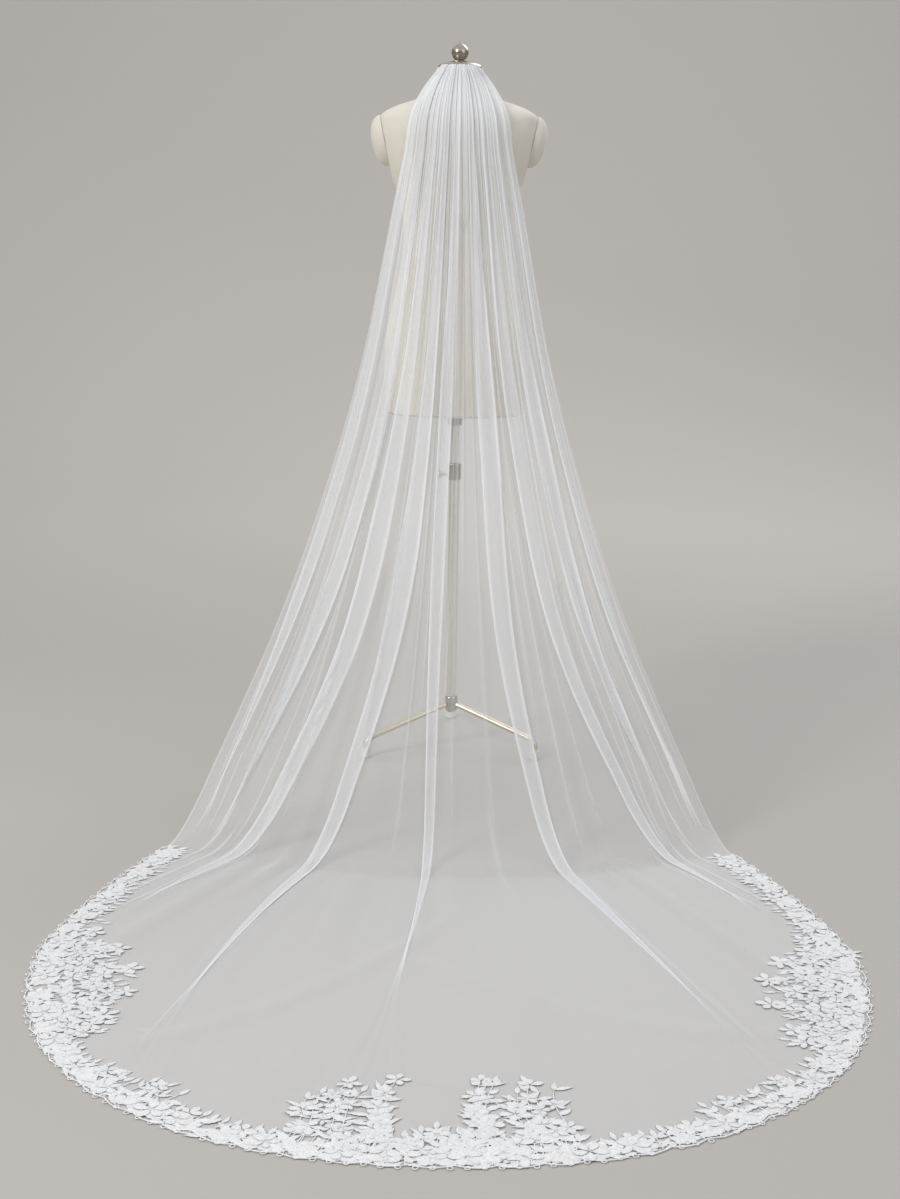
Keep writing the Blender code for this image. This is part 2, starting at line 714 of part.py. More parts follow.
def make_stand(metal, brass, rubber):
    """The pole in two lengths with its clamp, the hub, three legs and three feet."""
    turned("pole_socket", (
        (0, SOCKET_BOTTOM), (0.015, SOCKET_BOTTOM), (0.018, SOCKET_BOTTOM + 0.003),
        (0.018, FORM_BOTTOM - SEAM_GAP), (0, FORM_BOTTOM - SEAM_GAP),
    ), metal)
    turned("pole_upper", (
        (0, COLLAR_TOP + SEAM_GAP), (INNER_POLE_RADIUS, COLLAR_TOP + SEAM_GAP),
        (INNER_POLE_RADIUS, SOCKET_BOTTOM - SEAM_GAP), (0, SOCKET_BOTTOM - SEAM_GAP),
    ), metal)
    turned("pole_collar", (
        (0, COLLAR_BOTTOM), (COLLAR_RADIUS - 0.002, COLLAR_BOTTOM), (COLLAR_RADIUS, COLLAR_BOTTOM + 0.002),
        (COLLAR_RADIUS, COLLAR_TOP - 0.002), (COLLAR_RADIUS - 0.002, COLLAR_TOP), (0, COLLAR_TOP),
    ), metal)
    knob_root = COLLAR_RADIUS + SEAM_GAP
    knob = turned("collar_knob", (
        (0, knob_root), (0.004, knob_root), (0.004, 0.029), (0.0085, 0.030),
        (0.0095, 0.034), (0.0085, 0.040), (0.005, 0.042), (0, 0.042),
    ), metal, segments=12, axis="-X")
    knob.location.z = KNOB_HEIGHT
    turned("pole_lower", (
        (0, HUB_TOP + SEAM_GAP), (POLE_RADIUS, HUB_TOP + SEAM_GAP),
        (POLE_RADIUS, COLLAR_BOTTOM - SEAM_GAP), (0, COLLAR_BOTTOM - SEAM_GAP),
    ), metal)
    turned("tripod_hub", (
        (0, 0.084), (0.010, 0.084), (HUB_RADIUS, 0.092), (HUB_RADIUS, HUB_TOP - 0.002),
        (HUB_RADIUS - 0.002, HUB_TOP), (0, HUB_TOP),
    ), metal)
    for number, degrees in enumerate((90, 210, 330), start=1):
        angle = np.radians(degrees)
        make_leg(number, angle, brass)
        foot_centre = (TRIPOD_RADIUS * np.cos(angle), TRIPOD_RADIUS * np.sin(angle))
        turned(f"foot_{number}", (
            (0, 0), (0.0130, 0), (0.0135, 0.004), (0.0110, 0.018), (0.0095, 0.0232), (0, 0.0232),
        ), rubber, segments=12, centre=foot_centre)


def make_neck_fittings(metal):
    """The domed plate on the neck and the ball finial with its collar and tip."""
    bottom = FORM_TOP + SEAM_GAP
    turned("neck_plate", (
        (0, bottom), (0.0515, bottom), (0.0515, bottom + 0.0025), (0.0460, bottom + 0.0060),
        (0.0340, bottom + 0.0100), (0.0220, PLATE_TOP), (0, PLATE_TOP),
    ), metal, segments=20)
    ball_centre, ball_radius = 1.6605, 0.0200
    arc = np.radians(np.linspace(-58, 72, 7))
    ball = [(ball_radius * np.cos(a), ball_centre + ball_radius * np.sin(a)) for a in arc]
    collar = PLATE_TOP + SEAM_GAP
    turned("finial", (
        (0, collar), (0.0240, collar), (0.0235, collar + 0.0018), (0.0150, collar + 0.0035),
        *ball, (0.0040, 1.6815), (0, 1.6830),
    ), metal, segments=14)


def stand_on_origin():
    """Moves the whole so that the origin is on the floor under the middle of its box."""
    bpy.context.view_layer.update()
    corners = []
    for piece in whole.children:
        if piece.display_type != "WIRE":
            points = np.empty(len(piece.data.vertices) * 3)
            piece.data.vertices.foreach_get("co", points)
            turn = np.array(piece.matrix_world)
            points = points.reshape(-1, 3) @ turn[:3, :3].T + turn[:3, 3]
            corners += [points.min(axis=0), points.max(axis=0)]
    corners = np.array(corners)
    middle = (corners.min(axis=0) + corners.max(axis=0)) / 2
    whole.location = (-middle[0], -middle[1], 0.0)


for old in list(bpy.data.objects):
    bpy.data.objects.remove(old, do_unlink=True)
whole = bpy.data.objects.new("veil_on_form", None)
bpy.context.collection.objects.link(whole)

tulle = material("tulle", (0.86, 0.87, 0.88), 0.75)
lace = material("lace", (0.92, 0.92, 0.91), 0.70)
satin = material("ribbon_satin", (0.88, 0.88, 0.87), 0.45)
clear_plastic = material("comb_plastic", (0.80, 0.80, 0.78), 0.25)
ivory = material("ivory_jersey", (0.80, 0.76, 0.66), 0.80)
nickel = material("nickel", (0.60, 0.58, 0.54), 0.22, 1.0)
pale_brass = material("pale_brass", (0.72, 0.64, 0.48), 0.30, 1.0)
rubber = material("rubber", (0.10, 0.10, 0.10), 0.80)

make_veil(tulle)
make_ribbon(satin)
make_comb(clear_plastic)
make_lace(lace)
make_torso(ivory)
make_arm_cap(-1, "left", ivory)
make_arm_cap(1, "right", ivory)
make_neck_fittings(nickel)
make_stand(nickel, pale_brass, rubber)
stand_on_origin()
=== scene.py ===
"""The looks of a bridal veil on a limbless dress form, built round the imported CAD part.

Sections follow the object as it is put together: stand, form, neck fittings, tulle, ribbon and comb,
lace, and last the room it is shown in. Metres, +Z up; the train runs towards -Y.
"""

import bmesh
import bpy
import numpy as np
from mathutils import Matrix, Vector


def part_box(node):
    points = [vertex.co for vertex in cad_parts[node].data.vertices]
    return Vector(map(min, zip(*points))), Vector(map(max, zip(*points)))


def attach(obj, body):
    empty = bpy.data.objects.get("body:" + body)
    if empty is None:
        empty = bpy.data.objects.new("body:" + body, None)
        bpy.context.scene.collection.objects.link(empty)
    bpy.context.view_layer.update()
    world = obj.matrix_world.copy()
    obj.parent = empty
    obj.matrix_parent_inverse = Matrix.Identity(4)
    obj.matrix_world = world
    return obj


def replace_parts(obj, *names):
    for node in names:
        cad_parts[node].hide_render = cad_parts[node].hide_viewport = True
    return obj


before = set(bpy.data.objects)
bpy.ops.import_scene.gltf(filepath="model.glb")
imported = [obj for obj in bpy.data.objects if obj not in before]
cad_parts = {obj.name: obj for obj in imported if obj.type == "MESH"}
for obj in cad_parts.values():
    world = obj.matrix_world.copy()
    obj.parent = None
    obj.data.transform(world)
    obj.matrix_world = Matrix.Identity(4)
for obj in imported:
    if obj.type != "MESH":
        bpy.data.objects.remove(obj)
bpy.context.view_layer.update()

# The stand's metal. Polished nickel plate on turned steel and cast legs of pale brass, with slight
# smears and fine turning marks. The first helpers live here: a wrapper for shader maths, a maker of
# materials and a maker of smooth surfaces through grids of points.


class Wire:
    """A shader socket that adds Math nodes when it is used in a Python expression."""

    def __init__(self, finish, socket):
        self.finish, self.socket = finish, socket

    def math(self, operation, *values):
        return self.finish.node("ShaderNodeMath", {"operation": operation}, dict(enumerate(values)))

    def __add__(self, other):
        return self.math("ADD", self, other)

    def __sub__(self, other):
        return self.math("SUBTRACT", self, other)

    def __rsub__(self, other):
        return self.math("SUBTRACT", other, self)

    def __mul__(self, other):
        return self.math("MULTIPLY", self, other)

    def __pow__(self, other):
        return self.math("POWER", self, other)

    def sine(self):
        return self.math("SINE", self)

    def clamped(self):
        return self.math("MINIMUM", self.math("MAXIMUM", self, 0.0), 1.0)

    __radd__, __rmul__ = __add__, __mul__


class Finish:
    """A material with one Principled shader, its constant values set on the shader's own sockets."""

    def __init__(self, name, **constants):
        self.material = bpy.data.materials.new(name)
        self.material.use_nodes = True
        self.tree = self.material.node_tree
        self.shader = self.tree.nodes["Principled BSDF"]
        for key, value in constants.items():
            self.shader.inputs[key.replace("_", " ")].default_value = value

    def node(self, kind, settings=None, sockets=None, output=0):
        """Adds a node: first its settings, then the values or links of its sockets."""
        made = self.tree.nodes.new(kind)
        for key, value in (settings or {}).items():
            setattr(made, key, value)
        for key, value in (sockets or {}).items():
            if isinstance(value, Wire):
                self.tree.links.new(value.socket, made.inputs[key])
            else:
                made.inputs[key].default_value = value
        return Wire(self, made.outputs[output])

    def place(self, source="Object"):
        """Object coordinates, or the piece's own UV map."""
        return self.node("ShaderNodeTexCoord", output={"Object": 3, "UV": 2}[source])

    def stretched(self, vector, scale):
        """A vector multiplied by a scale along each axis."""
        return self.node("ShaderNodeVectorMath", {"operation": "MULTIPLY"}, {0: vector, 1: scale})

    def noise(self, vector, scale, detail=2.0):
        """Noise from 0 to 1."""
        return self.node("ShaderNodeTexNoise", None, {"Vector": vector, "Scale": scale, "Detail": detail})

    def mixed(self, factor, first, second):
        """The first colour where factor is 0, the second where it is 1."""
        return self.node("ShaderNodeMix", {"data_type": "RGBA"}, {0: factor, 6: first, 7: second}, output=2)

    def axis(self, vector, name):
        """One part of a vector."""
        return self.node("ShaderNodeSeparateXYZ", None, {0: vector}, output="XYZ".index(name))

    def bump(self, height, distance, strength=1.0):
        """Bumps of that height in metres, fed to the shader's normal."""
        made = self.node("ShaderNodeBump", None, {"Height": height, "Distance": distance, "Strength": strength})
        self.feed(Normal=made)

    def feed(self, **wires):
        """Links what varies over the surface to the shader."""
        for key, wire in wires.items():
            self.tree.links.new(wire.socket, self.shader.inputs[key.replace("_", " ")])


def add_surfaces(name, grids, finish, sharp=None, outward=False, rides=True):
    """One piece from grids of (points, uv), each of rows by columns. Quads join neighbours of a grid, and
    points that coincide are merged, which closes seams and poles. The object's own pieces ride on the
    root body."""
    corners, loops, faces, start = [], [], [], 0
    for points, uv in grids:
        rows, columns = points.shape[:2]
        index = start + np.arange(rows * columns).reshape(rows, columns)
        quads = np.stack([index[:-1, :-1], index[:-1, 1:], index[1:, 1:], index[1:, :-1]], axis=-1)
        corners.append(points.reshape(-1, 3))
        loops.append(uv.reshape(-1, 2))
        faces.append(quads.reshape(-1, 4))
        start += rows * columns
    corners, loops, faces = np.concatenate(corners), np.concatenate(loops), np.concatenate(faces)
    mesh = bpy.data.meshes.new(name)
    mesh.from_pydata(corners, [], faces.tolist())
    mesh.uv_layers.new(name="UVMap").data.foreach_set("uv", loops[faces.ravel()].ravel())
    shell = bmesh.new()
    shell.from_mesh(mesh)
    bmesh.ops.remove_doubles(shell, verts=shell.verts, dist=1e-6)
    bmesh.ops.dissolve_degenerate(shell, edges=shell.edges, dist=1e-7)
    if outward:
        bmesh.ops.recalc_face_normals(shell, faces=shell.faces)
    shell.to_mesh(mesh)
    shell.free()
    mesh.shade_smooth()
    if sharp:
        mesh.set_sharp_from_angle(angle=np.radians(sharp))
    mesh.materials.append(finish.material)
    piece = bpy.data.objects.new(name, mesh)
    bpy.context.scene.collection.objects.link(piece)
    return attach(piece, "root") if rides else piece


def plain_uv(rows, columns, width, height):
    """UV in metres for a grid: u runs over the columns, v over the rows."""
    u, v = np.meshgrid(np.linspace(0, width, columns), np.linspace(0, height, rows))
    return np.stack([u, v], axis=-1)


nickel = Finish("polished_nickel", Metallic=1.0)
marks = nickel.noise(nickel.stretched(nickel.place(), (30.0, 30.0, 900.0)), 1.0)
smears = nickel.noise(nickel.place(), 45.0, 3.0)
nickel.feed(
    Base_Color=nickel.mixed(smears, (0.52, 0.48, 0.42, 1.0), (0.36, 0.33, 0.28, 1.0)),
    Roughness=0.12 + smears * 0.16 + marks * 0.06,
)
nickel.bump(marks, 0.00003)

satin_steel = Finish("satin_steel", Metallic=1.0)
brushing = satin_steel.noise(satin_steel.stretched(satin_steel.place(), (60.0, 60.0, 700.0)), 1.0)
satin_steel.feed(
    Base_Color=satin_steel.mixed(brushing, (0.90, 0.87, 0.81, 1.0), (0.80, 0.76, 0.69, 1.0)),
    Roughness=0.30 + brushing * 0.12,
)
satin_steel.bump(brushing, 0.00003)

brass = Finish("pale_brass", Metallic=1.0)
tarnish = brass.noise(brass.place(), 28.0, 4.0)
brass.feed(
    Base_Color=brass.mixed(tarnish, (0.80, 0.72, 0.56, 1.0), (0.60, 0.52, 0.38, 1.0)),
    Roughness=0.22 + tarnish * 0.20,
)
brass.bump(brass.noise(brass.place(), 700.0), 0.00004)

grey_rubber = Finish("foot_rubber", Specular_IOR_Level=0.3)
grain = grey_rubber.noise(grey_rubber.place(), 600.0)
grey_rubber.feed(
    Base_Color=grey_rubber.mixed(grain, (0.66, 0.64, 0.59, 1.0), (0.76, 0.74, 0.69, 1.0)),
    Roughness=0.62 + grain * 0.2,
)
grey_rubber.bump(grain, 0.0002)

# Feet, hub and pole. Lathe-turned pieces: rubber cups on the legs' ends, a hub that the legs screw
# into, and a pole in two lengths that slide in each other under a clamp with a round knob.

TURNED_SEGMENTS = 48


def turned(node, profile, finish, axis="Z", sharp=40.0):
    """A turned piece in the place of a CAD node: each profile point is a share of the node's radius
    and a share of its length, and is carried round the axis through the middle of the node's box."""
    low, high = (np.array(corner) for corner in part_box(node))
    along = {"Z": 2, "-X": 0}[axis]
    across = [i for i in range(3) if i != along]
    radius = (high - low)[across].max() / 2
    shares = np.array(profile)
    turn = np.linspace(0, 2 * np.pi, TURNED_SEGMENTS + 1)
    points = np.empty((len(profile), len(turn), 3))
    middle = (low + high) / 2
    points[..., across[0]] = middle[across[0]] + np.outer(shares[:, 0], np.cos(turn)) * radius
    points[..., across[1]] = middle[across[1]] + np.outer(shares[:, 0], np.sin(turn)) * radius
    if axis == "Z":
        points[..., along] = (low[along] + shares[:, 1] * (high - low)[along])[:, None]
    else:
        points[..., along] = (high[along] - shares[:, 1] * (high - low)[along])[:, None]
    uv = plain_uv(len(profile), len(turn), 2 * np.pi * radius, (high - low)[along])
    piece = add_surfaces(node + "_turned", [(points, uv)], finish, sharp=sharp, outward=True)
    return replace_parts(piece, node)


def rounded(edge_radius, edge_length, steps=4):
    """A cylinder's profile with quarter circles at its rims, each part given as a share."""
    arc = np.linspace(0, np.pi / 2, steps)
    low = np.column_stack([1 - edge_radius + edge_radius * np.sin(arc), edge_length * (1 - np.cos(arc))])
    high = low[::-1] * (1, -1) + (0, 1)
    return [(0, 0), *low, *high, (0, 1)]


for number in (1, 2, 3):
    cup = [(0, 0), (0.93, 0), (0.98, 0.04), (1, 0.16), (0.97, 0.3), (0.90, 0.5), (0.83, 0.72), (0.80, 0.84),
           (0.76, 0.95), (0.68, 1), (0, 1)]
    turned(f"foot_{number}", cup, grey_rubber)
hub = [(0, 0), (0.55, 0), (0.64, 0.03), (0.96, 0.17), (1, 0.22), (1, 0.38), (0.95, 0.40), (0.95, 0.43),
       (1, 0.45), (1, 0.90), (0.97, 0.96), (0.90, 1), (0, 1)]
turned("tripod_hub", hub, nickel)
turned("pole_lower", rounded(0.06, 0.002), satin_steel)
turned("pole_upper", rounded(0.06, 0.01), satin_steel)
turned("pole_collar", rounded(0.14, 0.06), nickel)
turned("pole_socket", rounded(0.16, 0.10), nickel)
knob = [(0, 0), (0.42, 0), (0.42, 0.50), (0.80, 0.53), (0.93, 0.58), (1, 0.68), (1, 0.74), (0.93, 0.86),
        (0.80, 0.93), (0.55, 0.98), (0.30, 1), (0, 1)]
turned("collar_knob", knob, nickel, axis="-X")


# Legs. Three brass rods that leave the hub, slope down and bend into their feet.

LEG_RADIUS = 0.007
LEG_PATH = ((0.0163, 0.103), (0.022, 0.1018), (0.030, 0.0997), (0.120, 0.0758), (0.210, 0.0519),
            (0.2240, 0.0472), (0.2318, 0.0415), (0.2362, 0.0350), (0.2378, 0.0290), (0.2380, 0.0235))


def headings(path):
    """Unit directions along a path of points."""
    runs = np.gradient(path, axis=0)
    return runs / np.linalg.norm(runs, axis=1, keepdims=True)


def rod(path, side, radius, sides=16):
    """A round rod along a path: circles in the plane of side and of the direction square to both side
    and the path. Its first and last rows close on the path's ends."""
    side = np.broadcast_to(side, path.shape)
    up = np.cross(side, headings(path))
    turn = np.linspace(2 * np.pi, 0, sides + 1)[None, :, None]
    rings = path[:, None] + radius * (np.cos(turn) * side[:, None] + np.sin(turn) * up[:, None])
    ends = [np.broadcast_to(path[i], (1, sides + 1, 3)) for i in (0, -1)]
    grid = np.concatenate([ends[0], rings, ends[1]])
    length = np.linalg.norm(np.diff(path, axis=0), axis=1).sum()
    return grid, plain_uv(len(grid), sides + 1, 2 * np.pi * radius, length)


pole_low, pole_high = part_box("pole_lower")
POLE_Y = (pole_low.y + pole_high.y) / 2
for number, degrees in ((1, 90), (2, 210), (3, 330)):
    turn = np.radians(degrees)
    reach, height = np.array(LEG_PATH).T
    path = np.column_stack([reach * np.cos(turn), POLE_Y + reach * np.sin(turn), height])
    grid = rod(path, (-np.sin(turn), np.cos(turn), 0.0), LEG_RADIUS, sides=24)
    leg = add_surfaces(f"leg_{number}_rod", [grid], brass, sharp=50, outward=True)
    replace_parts(leg, f"leg_{number}")


# The form. A hard body under stretched ivory jersey, with a back seam and two long shaping seams on
# each face, closed at the armholes by padded caps of the same cloth.

# Height, half width, depth behind and before the pole
FORM_SECTIONS = (
    (0.828, 0.163, 0.118, 0.108),
    (0.900, 0.170, 0.124, 0.112),
    (0.955, 0.171, 0.125, 0.112),
    (1.030, 0.164, 0.117, 0.108),
    (1.120, 0.146, 0.099, 0.099),
    (1.200, 0.130, 0.087, 0.094),
    (1.255, 0.126, 0.083, 0.096),
    (1.310, 0.133, 0.089, 0.110),
    (1.355, 0.146, 0.098, 0.128),
    (1.400, 0.165, 0.107, 0.136),
    (1.450, 0.180, 0.112, 0.126),
    (1.495, 0.186, 0.108, 0.104),
    (1.523, 0.178, 0.098, 0.086),
    (1.540, 0.146, 0.085, 0.072),
    (1.557, 0.096, 0.071, 0.062),
    (1.580, 0.074, 0.060, 0.056),
    (1.603, 0.061, 0.055, 0.052),
    (1.626, 0.053, 0.052, 0.050),
)
FORM_ROUNDNESS = 2.25
FORM_ROWS = 150
FORM_COLUMNS = 192
HEM_ROUNDING = 0.006
SEAM_DEPTH = 0.0009
SEAM_HALF_WIDTH = 0.0035
SEAM_TURNS = (0.25, 0.36, 0.64, 0.75, 0.86, 0.14)
ARMHOLE_TOP = (0.1837, 1.520)
ARMHOLE_BOTTOM = (0.1600, 1.4045)
CAP_HALF_DEPTH = 0.047
CAP_BULGE = 0.031
CAP_GAP = 0.0003
ARMHOLE_REACH = 0.12


def smooth(x, xs, ys):
    """A curve through the points (xs, ys): cubic spans whose slopes come from the neighbours."""
    xs, ys = np.asarray(xs, float), np.asarray(ys, float)
    order = np.argsort(xs)
    xs, ys = xs[order], ys[order]
    slopes = np.gradient(ys, xs)
    x = np.clip(x, xs[0], xs[-1])
    span = np.clip(np.searchsorted(xs, x) - 1, 0, len(xs) - 2)
    step = xs[span + 1] - xs[span]
    t = (x - xs[span]) / step
    start = (1 + 2 * t) * (1 - t) ** 2 * ys[span] + t * (1 - t) ** 2 * step * slopes[span]
    end = t * t * (3 - 2 * t) * ys[span + 1] + t * t * (t - 1) * step * slopes[span + 1]
    return start + end


def bell(x):
    """1 at 0, falling smoothly to 0 at -1 and 1."""
    return np.where(np.abs(x) < 1, (1 - np.clip(x, -1, 1) ** 2) ** 2, 0.0)


def armhole(side):
    """An armhole's centre, its upward and outward directions and half its height."""
    top = np.array([side * ARMHOLE_TOP[0], POLE_Y, ARMHOLE_TOP[1]])
    bottom = np.array([side * ARMHOLE_BOTTOM[0], POLE_Y, ARMHOLE_BOTTOM[1]])
    up = (top - bottom) / np.linalg.norm(top - bottom)
    out = np.array([side * up[2], 0.0, -side * up[0]])
    return (top + bottom) / 2, up, out, np.linalg.norm(top - bottom) / 2


def form_surface():
    """Superellipse rings with the half width and depths of the table. Long seams press in a shallow
    groove, and what reaches beyond an armhole's plane is moved square onto it, near the armhole only."""
    table = np.array(FORM_SECTIONS)
    height = np.linspace(table[0, 0], table[-1, 0], FORM_ROWS)
    width, back, front = (smooth(height, table[:, 0], table[:, i])[:, None] for i in (1, 2, 3))
    share = np.linspace(0, 1, FORM_COLUMNS + 1)
    turn = 2 * np.pi * share
    power = 2 / FORM_ROUNDNESS
    side = np.sign(np.cos(turn)) * np.abs(np.cos(turn)) ** power
    depth = np.sign(np.sin(turn)) * np.abs(np.sin(turn)) ** power
    groove = sum(bell((share - place) * 2 * np.pi * 0.15 / SEAM_HALF_WIDTH) for place in SEAM_TURNS)
    inset = 1 - SEAM_DEPTH / 0.12 * groove
    x = width * side * inset
    y = POLE_Y + np.where(depth > 0, front, back) * depth * inset
    z = np.broadcast_to(height[:, None], x.shape)
    points = np.stack([x, y, z], axis=-1)
    for hand in (-1, 1):
        centre, up, out, _ = armhole(hand)
        near = np.abs((points - centre) @ up) < ARMHOLE_REACH
        beyond = np.where(near, np.maximum((points - centre) @ out, 0.0), 0.0)
        points = points - beyond[..., None] * out
    middle = np.array([0.0, POLE_Y, 0.0])
    hem_row = (points[:1] - middle) * (0.965, 0.965, 1) + middle
    points[0, :, 2] += HEM_ROUNDING
    closed = [np.broadcast_to(middle + (0, 0, z), (1, len(share), 3)) for z in (height[0], height[-1])]
    points = np.concatenate([closed[0], hem_row, points, closed[1]])
    return points, plain_uv(len(points), len(share), 0.95, height[-1] - height[0])


def cap_surface(side, rings=20, segments=64):
    """A rounded cap: an ellipse's rings shrink by the cosine to a power as they rise by the sine."""
    centre, up, out, half_height = armhole(side)
    rise = np.linspace(0, np.pi / 2, rings)[:, None, None]
    turn = np.linspace(0, 2 * np.pi, segments + 1)[None, :, None]
    oval = np.cos(turn) * up * half_height + np.sin(turn) * np.array([0, CAP_HALF_DEPTH, 0])
    dome = centre + oval * np.cos(rise) ** 0.8 + out * (CAP_GAP + CAP_BULGE * np.sin(rise))
    floor = np.broadcast_to(centre + out * CAP_GAP, (1, segments + 1, 3))
    return np.concatenate([floor, dome]), plain_uv(rings + 1, segments + 1, 0.34, 0.08)


jersey = Finish("ivory_jersey", Sheen_Weight=0.25, Sheen_Roughness=0.5, Specular_IOR_Level=0.25)
cloth_place = jersey.place("UV")
wales = (jersey.axis(cloth_place, "X") * 5200.0).sine()
courses = (jersey.axis(cloth_place, "Y") * 4600.0).sine()
knit = wales * courses * 0.5 + 0.5
soiling = jersey.noise(jersey.place(), 9.0, 3.0)
pale = jersey.mixed(soiling, (0.845, 0.805, 0.725, 1.0), (0.775, 0.735, 0.645, 1.0))
jersey.feed(
    Base_Color=jersey.mixed(knit * 0.25, pale, (0.66, 0.62, 0.53, 1.0)),
    Roughness=0.80 + knit * 0.12,
)
jersey.bump(knit, 0.00012)

torso = add_surfaces("form_body", [form_surface()], jersey, sharp=50, outward=True)
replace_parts(torso, "form_torso")
for side, word in ((-1, "left"), (1, "right")):
    cap = add_surfaces(f"arm_cap_{word}_padded", [cap_surface(side)], jersey, sharp=60, outward=True)
    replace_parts(cap, f"arm_cap_{word}")

# Neck plate and finial. A domed nickel disc screwed onto the neck with a stepped collar, a ball and a
# small tip, all turned and polished.

plate = [(0, 0), (0.985, 0), (1, 0.03), (1, 0.17), (0.99, 0.28), (0.96, 0.46), (0.90, 0.66), (0.80, 0.83),
         (0.68, 0.94), (0.56, 0.99), (0.43, 1), (0, 1)]
turned("neck_plate", plate, nickel)
ball_arc = np.radians(np.linspace(-58, 78, 26))
ball_height, ball_radius = 0.488, 0.452
ball = [(ball_radius / 0.542 * np.cos(a), ball_height + ball_radius * np.sin(a)) for a in ball_arc]
neck = [(0, 0), (0.98, 0), (1, 0.015), (0.99, 0.035), (0.93, 0.045), (0.72, 0.062), (0.64, 0.075)]
tip = [(0.16, 0.955), (0.13, 0.985), (0.06, 1), (0, 1)]
turned("finial", neck + ball + tip, nickel)

# The tulle. One soft length 1.5 m wide and 3.0 m long with a rounded end, gathered at the top. It falls
# over the form's back in knife folds of three layers whose tails run out on the floor. The net is
# so fine that it reads as a haze, denser where folds and gathers stack it.

VEIL_TOP = 1.628
BEND_START = 0.13
BEND_END = 0.10
TRAIN_HALF_WIDTH = 0.727
SIDE_EDGE_END = 1.28
TRAIN_REACH = 2.015
TRAIN_SQUARENESS = 2.2
SIDE_EDGE_BULGE = 0.08
FLAT_SPACING = 0.006
HEM_SPACING = 0.034
STEP_DOWN = 0.015
WALL = 0.001
CUT_WIDTH = 1.5
CUT_LENGTH = 3.0
HANGING_STEPS = 82
BEND_STEPS = 18
FLOOR_STEPS = 44
TAPER_START = 0.45
EDGE_POWER = 5
LAYER_COLUMNS = 8
TURN_COLUMNS = 3
BETWEEN_COLUMNS = 9

# Height, half width, depth behind the pole at the middle and at the side edges
VEIL_SECTIONS = (
    (0.000, 0.566, 0.832, 0.712),
    (0.120, 0.515, 0.762, 0.660),
    (0.240, 0.460, 0.690, 0.605),
    (0.400, 0.390, 0.600, 0.525),
    (0.560, 0.330, 0.505, 0.435),
    (0.700, 0.285, 0.425, 0.360),
    (0.850, 0.242, 0.342, 0.285),
    (1.000, 0.206, 0.270, 0.215),
    (1.130, 0.181, 0.218, 0.172),
    (1.250, 0.159, 0.180, 0.138),
    (1.340, 0.142, 0.160, 0.122),
    (1.430, 0.124, 0.146, 0.110),
    (1.525, 0.108, 0.122, 0.094),
    (1.560, 0.093, 0.096, 0.062),
    (1.600, 0.067, 0.075, 0.040),
    (1.628, 0.042, 0.066, 0.047),
)

# Place across the half width at five levels, full band width, side that lies on top, end of the tail.
# A level is the height while the cloth hangs, then minus the share of the train
FOLDS = (
    (-0.88, -0.90, -0.92, -0.94, -0.97, 0.026, 1, 0.00),
    (-0.66, -0.67, -0.75, -0.86, -0.935, 0.038, -1, 0.06),
    (-0.44, -0.49, -0.54, -0.72, -0.90, 0.046, 1, 0.50),
    (-0.22, -0.27, -0.32, -0.45, -0.41, 0.046, -1, 0.80),
    (0.00, -0.09, -0.095, -0.075, -0.105, 0.028, 1, 0.58),
    (0.22, 0.29, 0.285, 0.37, 0.445, 0.042, -1, 0.80),
    (0.44, 0.54, 0.575, 0.75, 0.83, 0.036, 1, 0.46),
    (0.66, 0.74, 0.75, 0.87, 0.93, 0.034, -1, 0.06),
    (0.88, 0.91, 0.91, 0.95, 0.97, 0.022, 1, 0.00),
)
FOLD_LEVELS = (1.628, 0.80, 0.45, 0.0, -1.0)

# Level and distance between a fold's layers, level and height of the gathers, level and how much of
# the light one layer stops
LAYER_GAPS = ((-0.30, 0.0006), (0.0, 0.0015), (0.15, 0.005), (0.9, 0.005), (1.3, 0.0030), (1.6, 0.0012))
GATHER_HEIGHTS = ((-0.3, 0.0), (0.0, 0.0012), (0.2, 0.003), (0.5, 0.005), (0.9, 0.006), (1.3, 0.0065),
                  (1.5, 0.0055), (1.628, 0.0028))
HAZE = ((-1.0, 0.24), (-0.10, 0.24), (0.02, 0.21), (0.5, 0.19), (0.9, 0.19), (1.1, 0.22), (1.25, 0.29),
        (1.4, 0.43), (1.5, 0.58), (1.628, 0.78))

# Level and width of the folds as a share, level and how bright the turned edges are
FOLD_WIDTHS = ((0.0, 0.70), (0.5, 1.0))
EDGE_MARKS = ((-1.0, 0.45), (0.0, 0.75), (0.9, 0.80), (1.3, 0.55), (1.6, 0.25))

# Waves over the half width, share of the gather's height, phase, drift of the phase over the length
GATHERS = (
    (4.3, 0.22, 0.4, 0.6),
    (7.1, 0.26, 2.1, -0.5),
    (11.6, 0.26, 4.0, 0.8),
    (17.9, 0.20, 1.3, -1.1),
    (27.0, 0.14, 5.2, 0.7),
)

# Fine gathers under the top edge: waves over the half width, phase, drift, share of light they stop
FINE_GATHERS = (
    (9.3, 0.9, 0.5, 0.30),
    (15.7, 3.3, -0.8, 0.34),
    (23.1, 5.0, 1.2, 0.30),
)
FINE_LEVELS = ((0.5, 0.0), (0.9, 0.22), (1.15, 0.55), (1.4, 1.0), (1.628, 1.0))

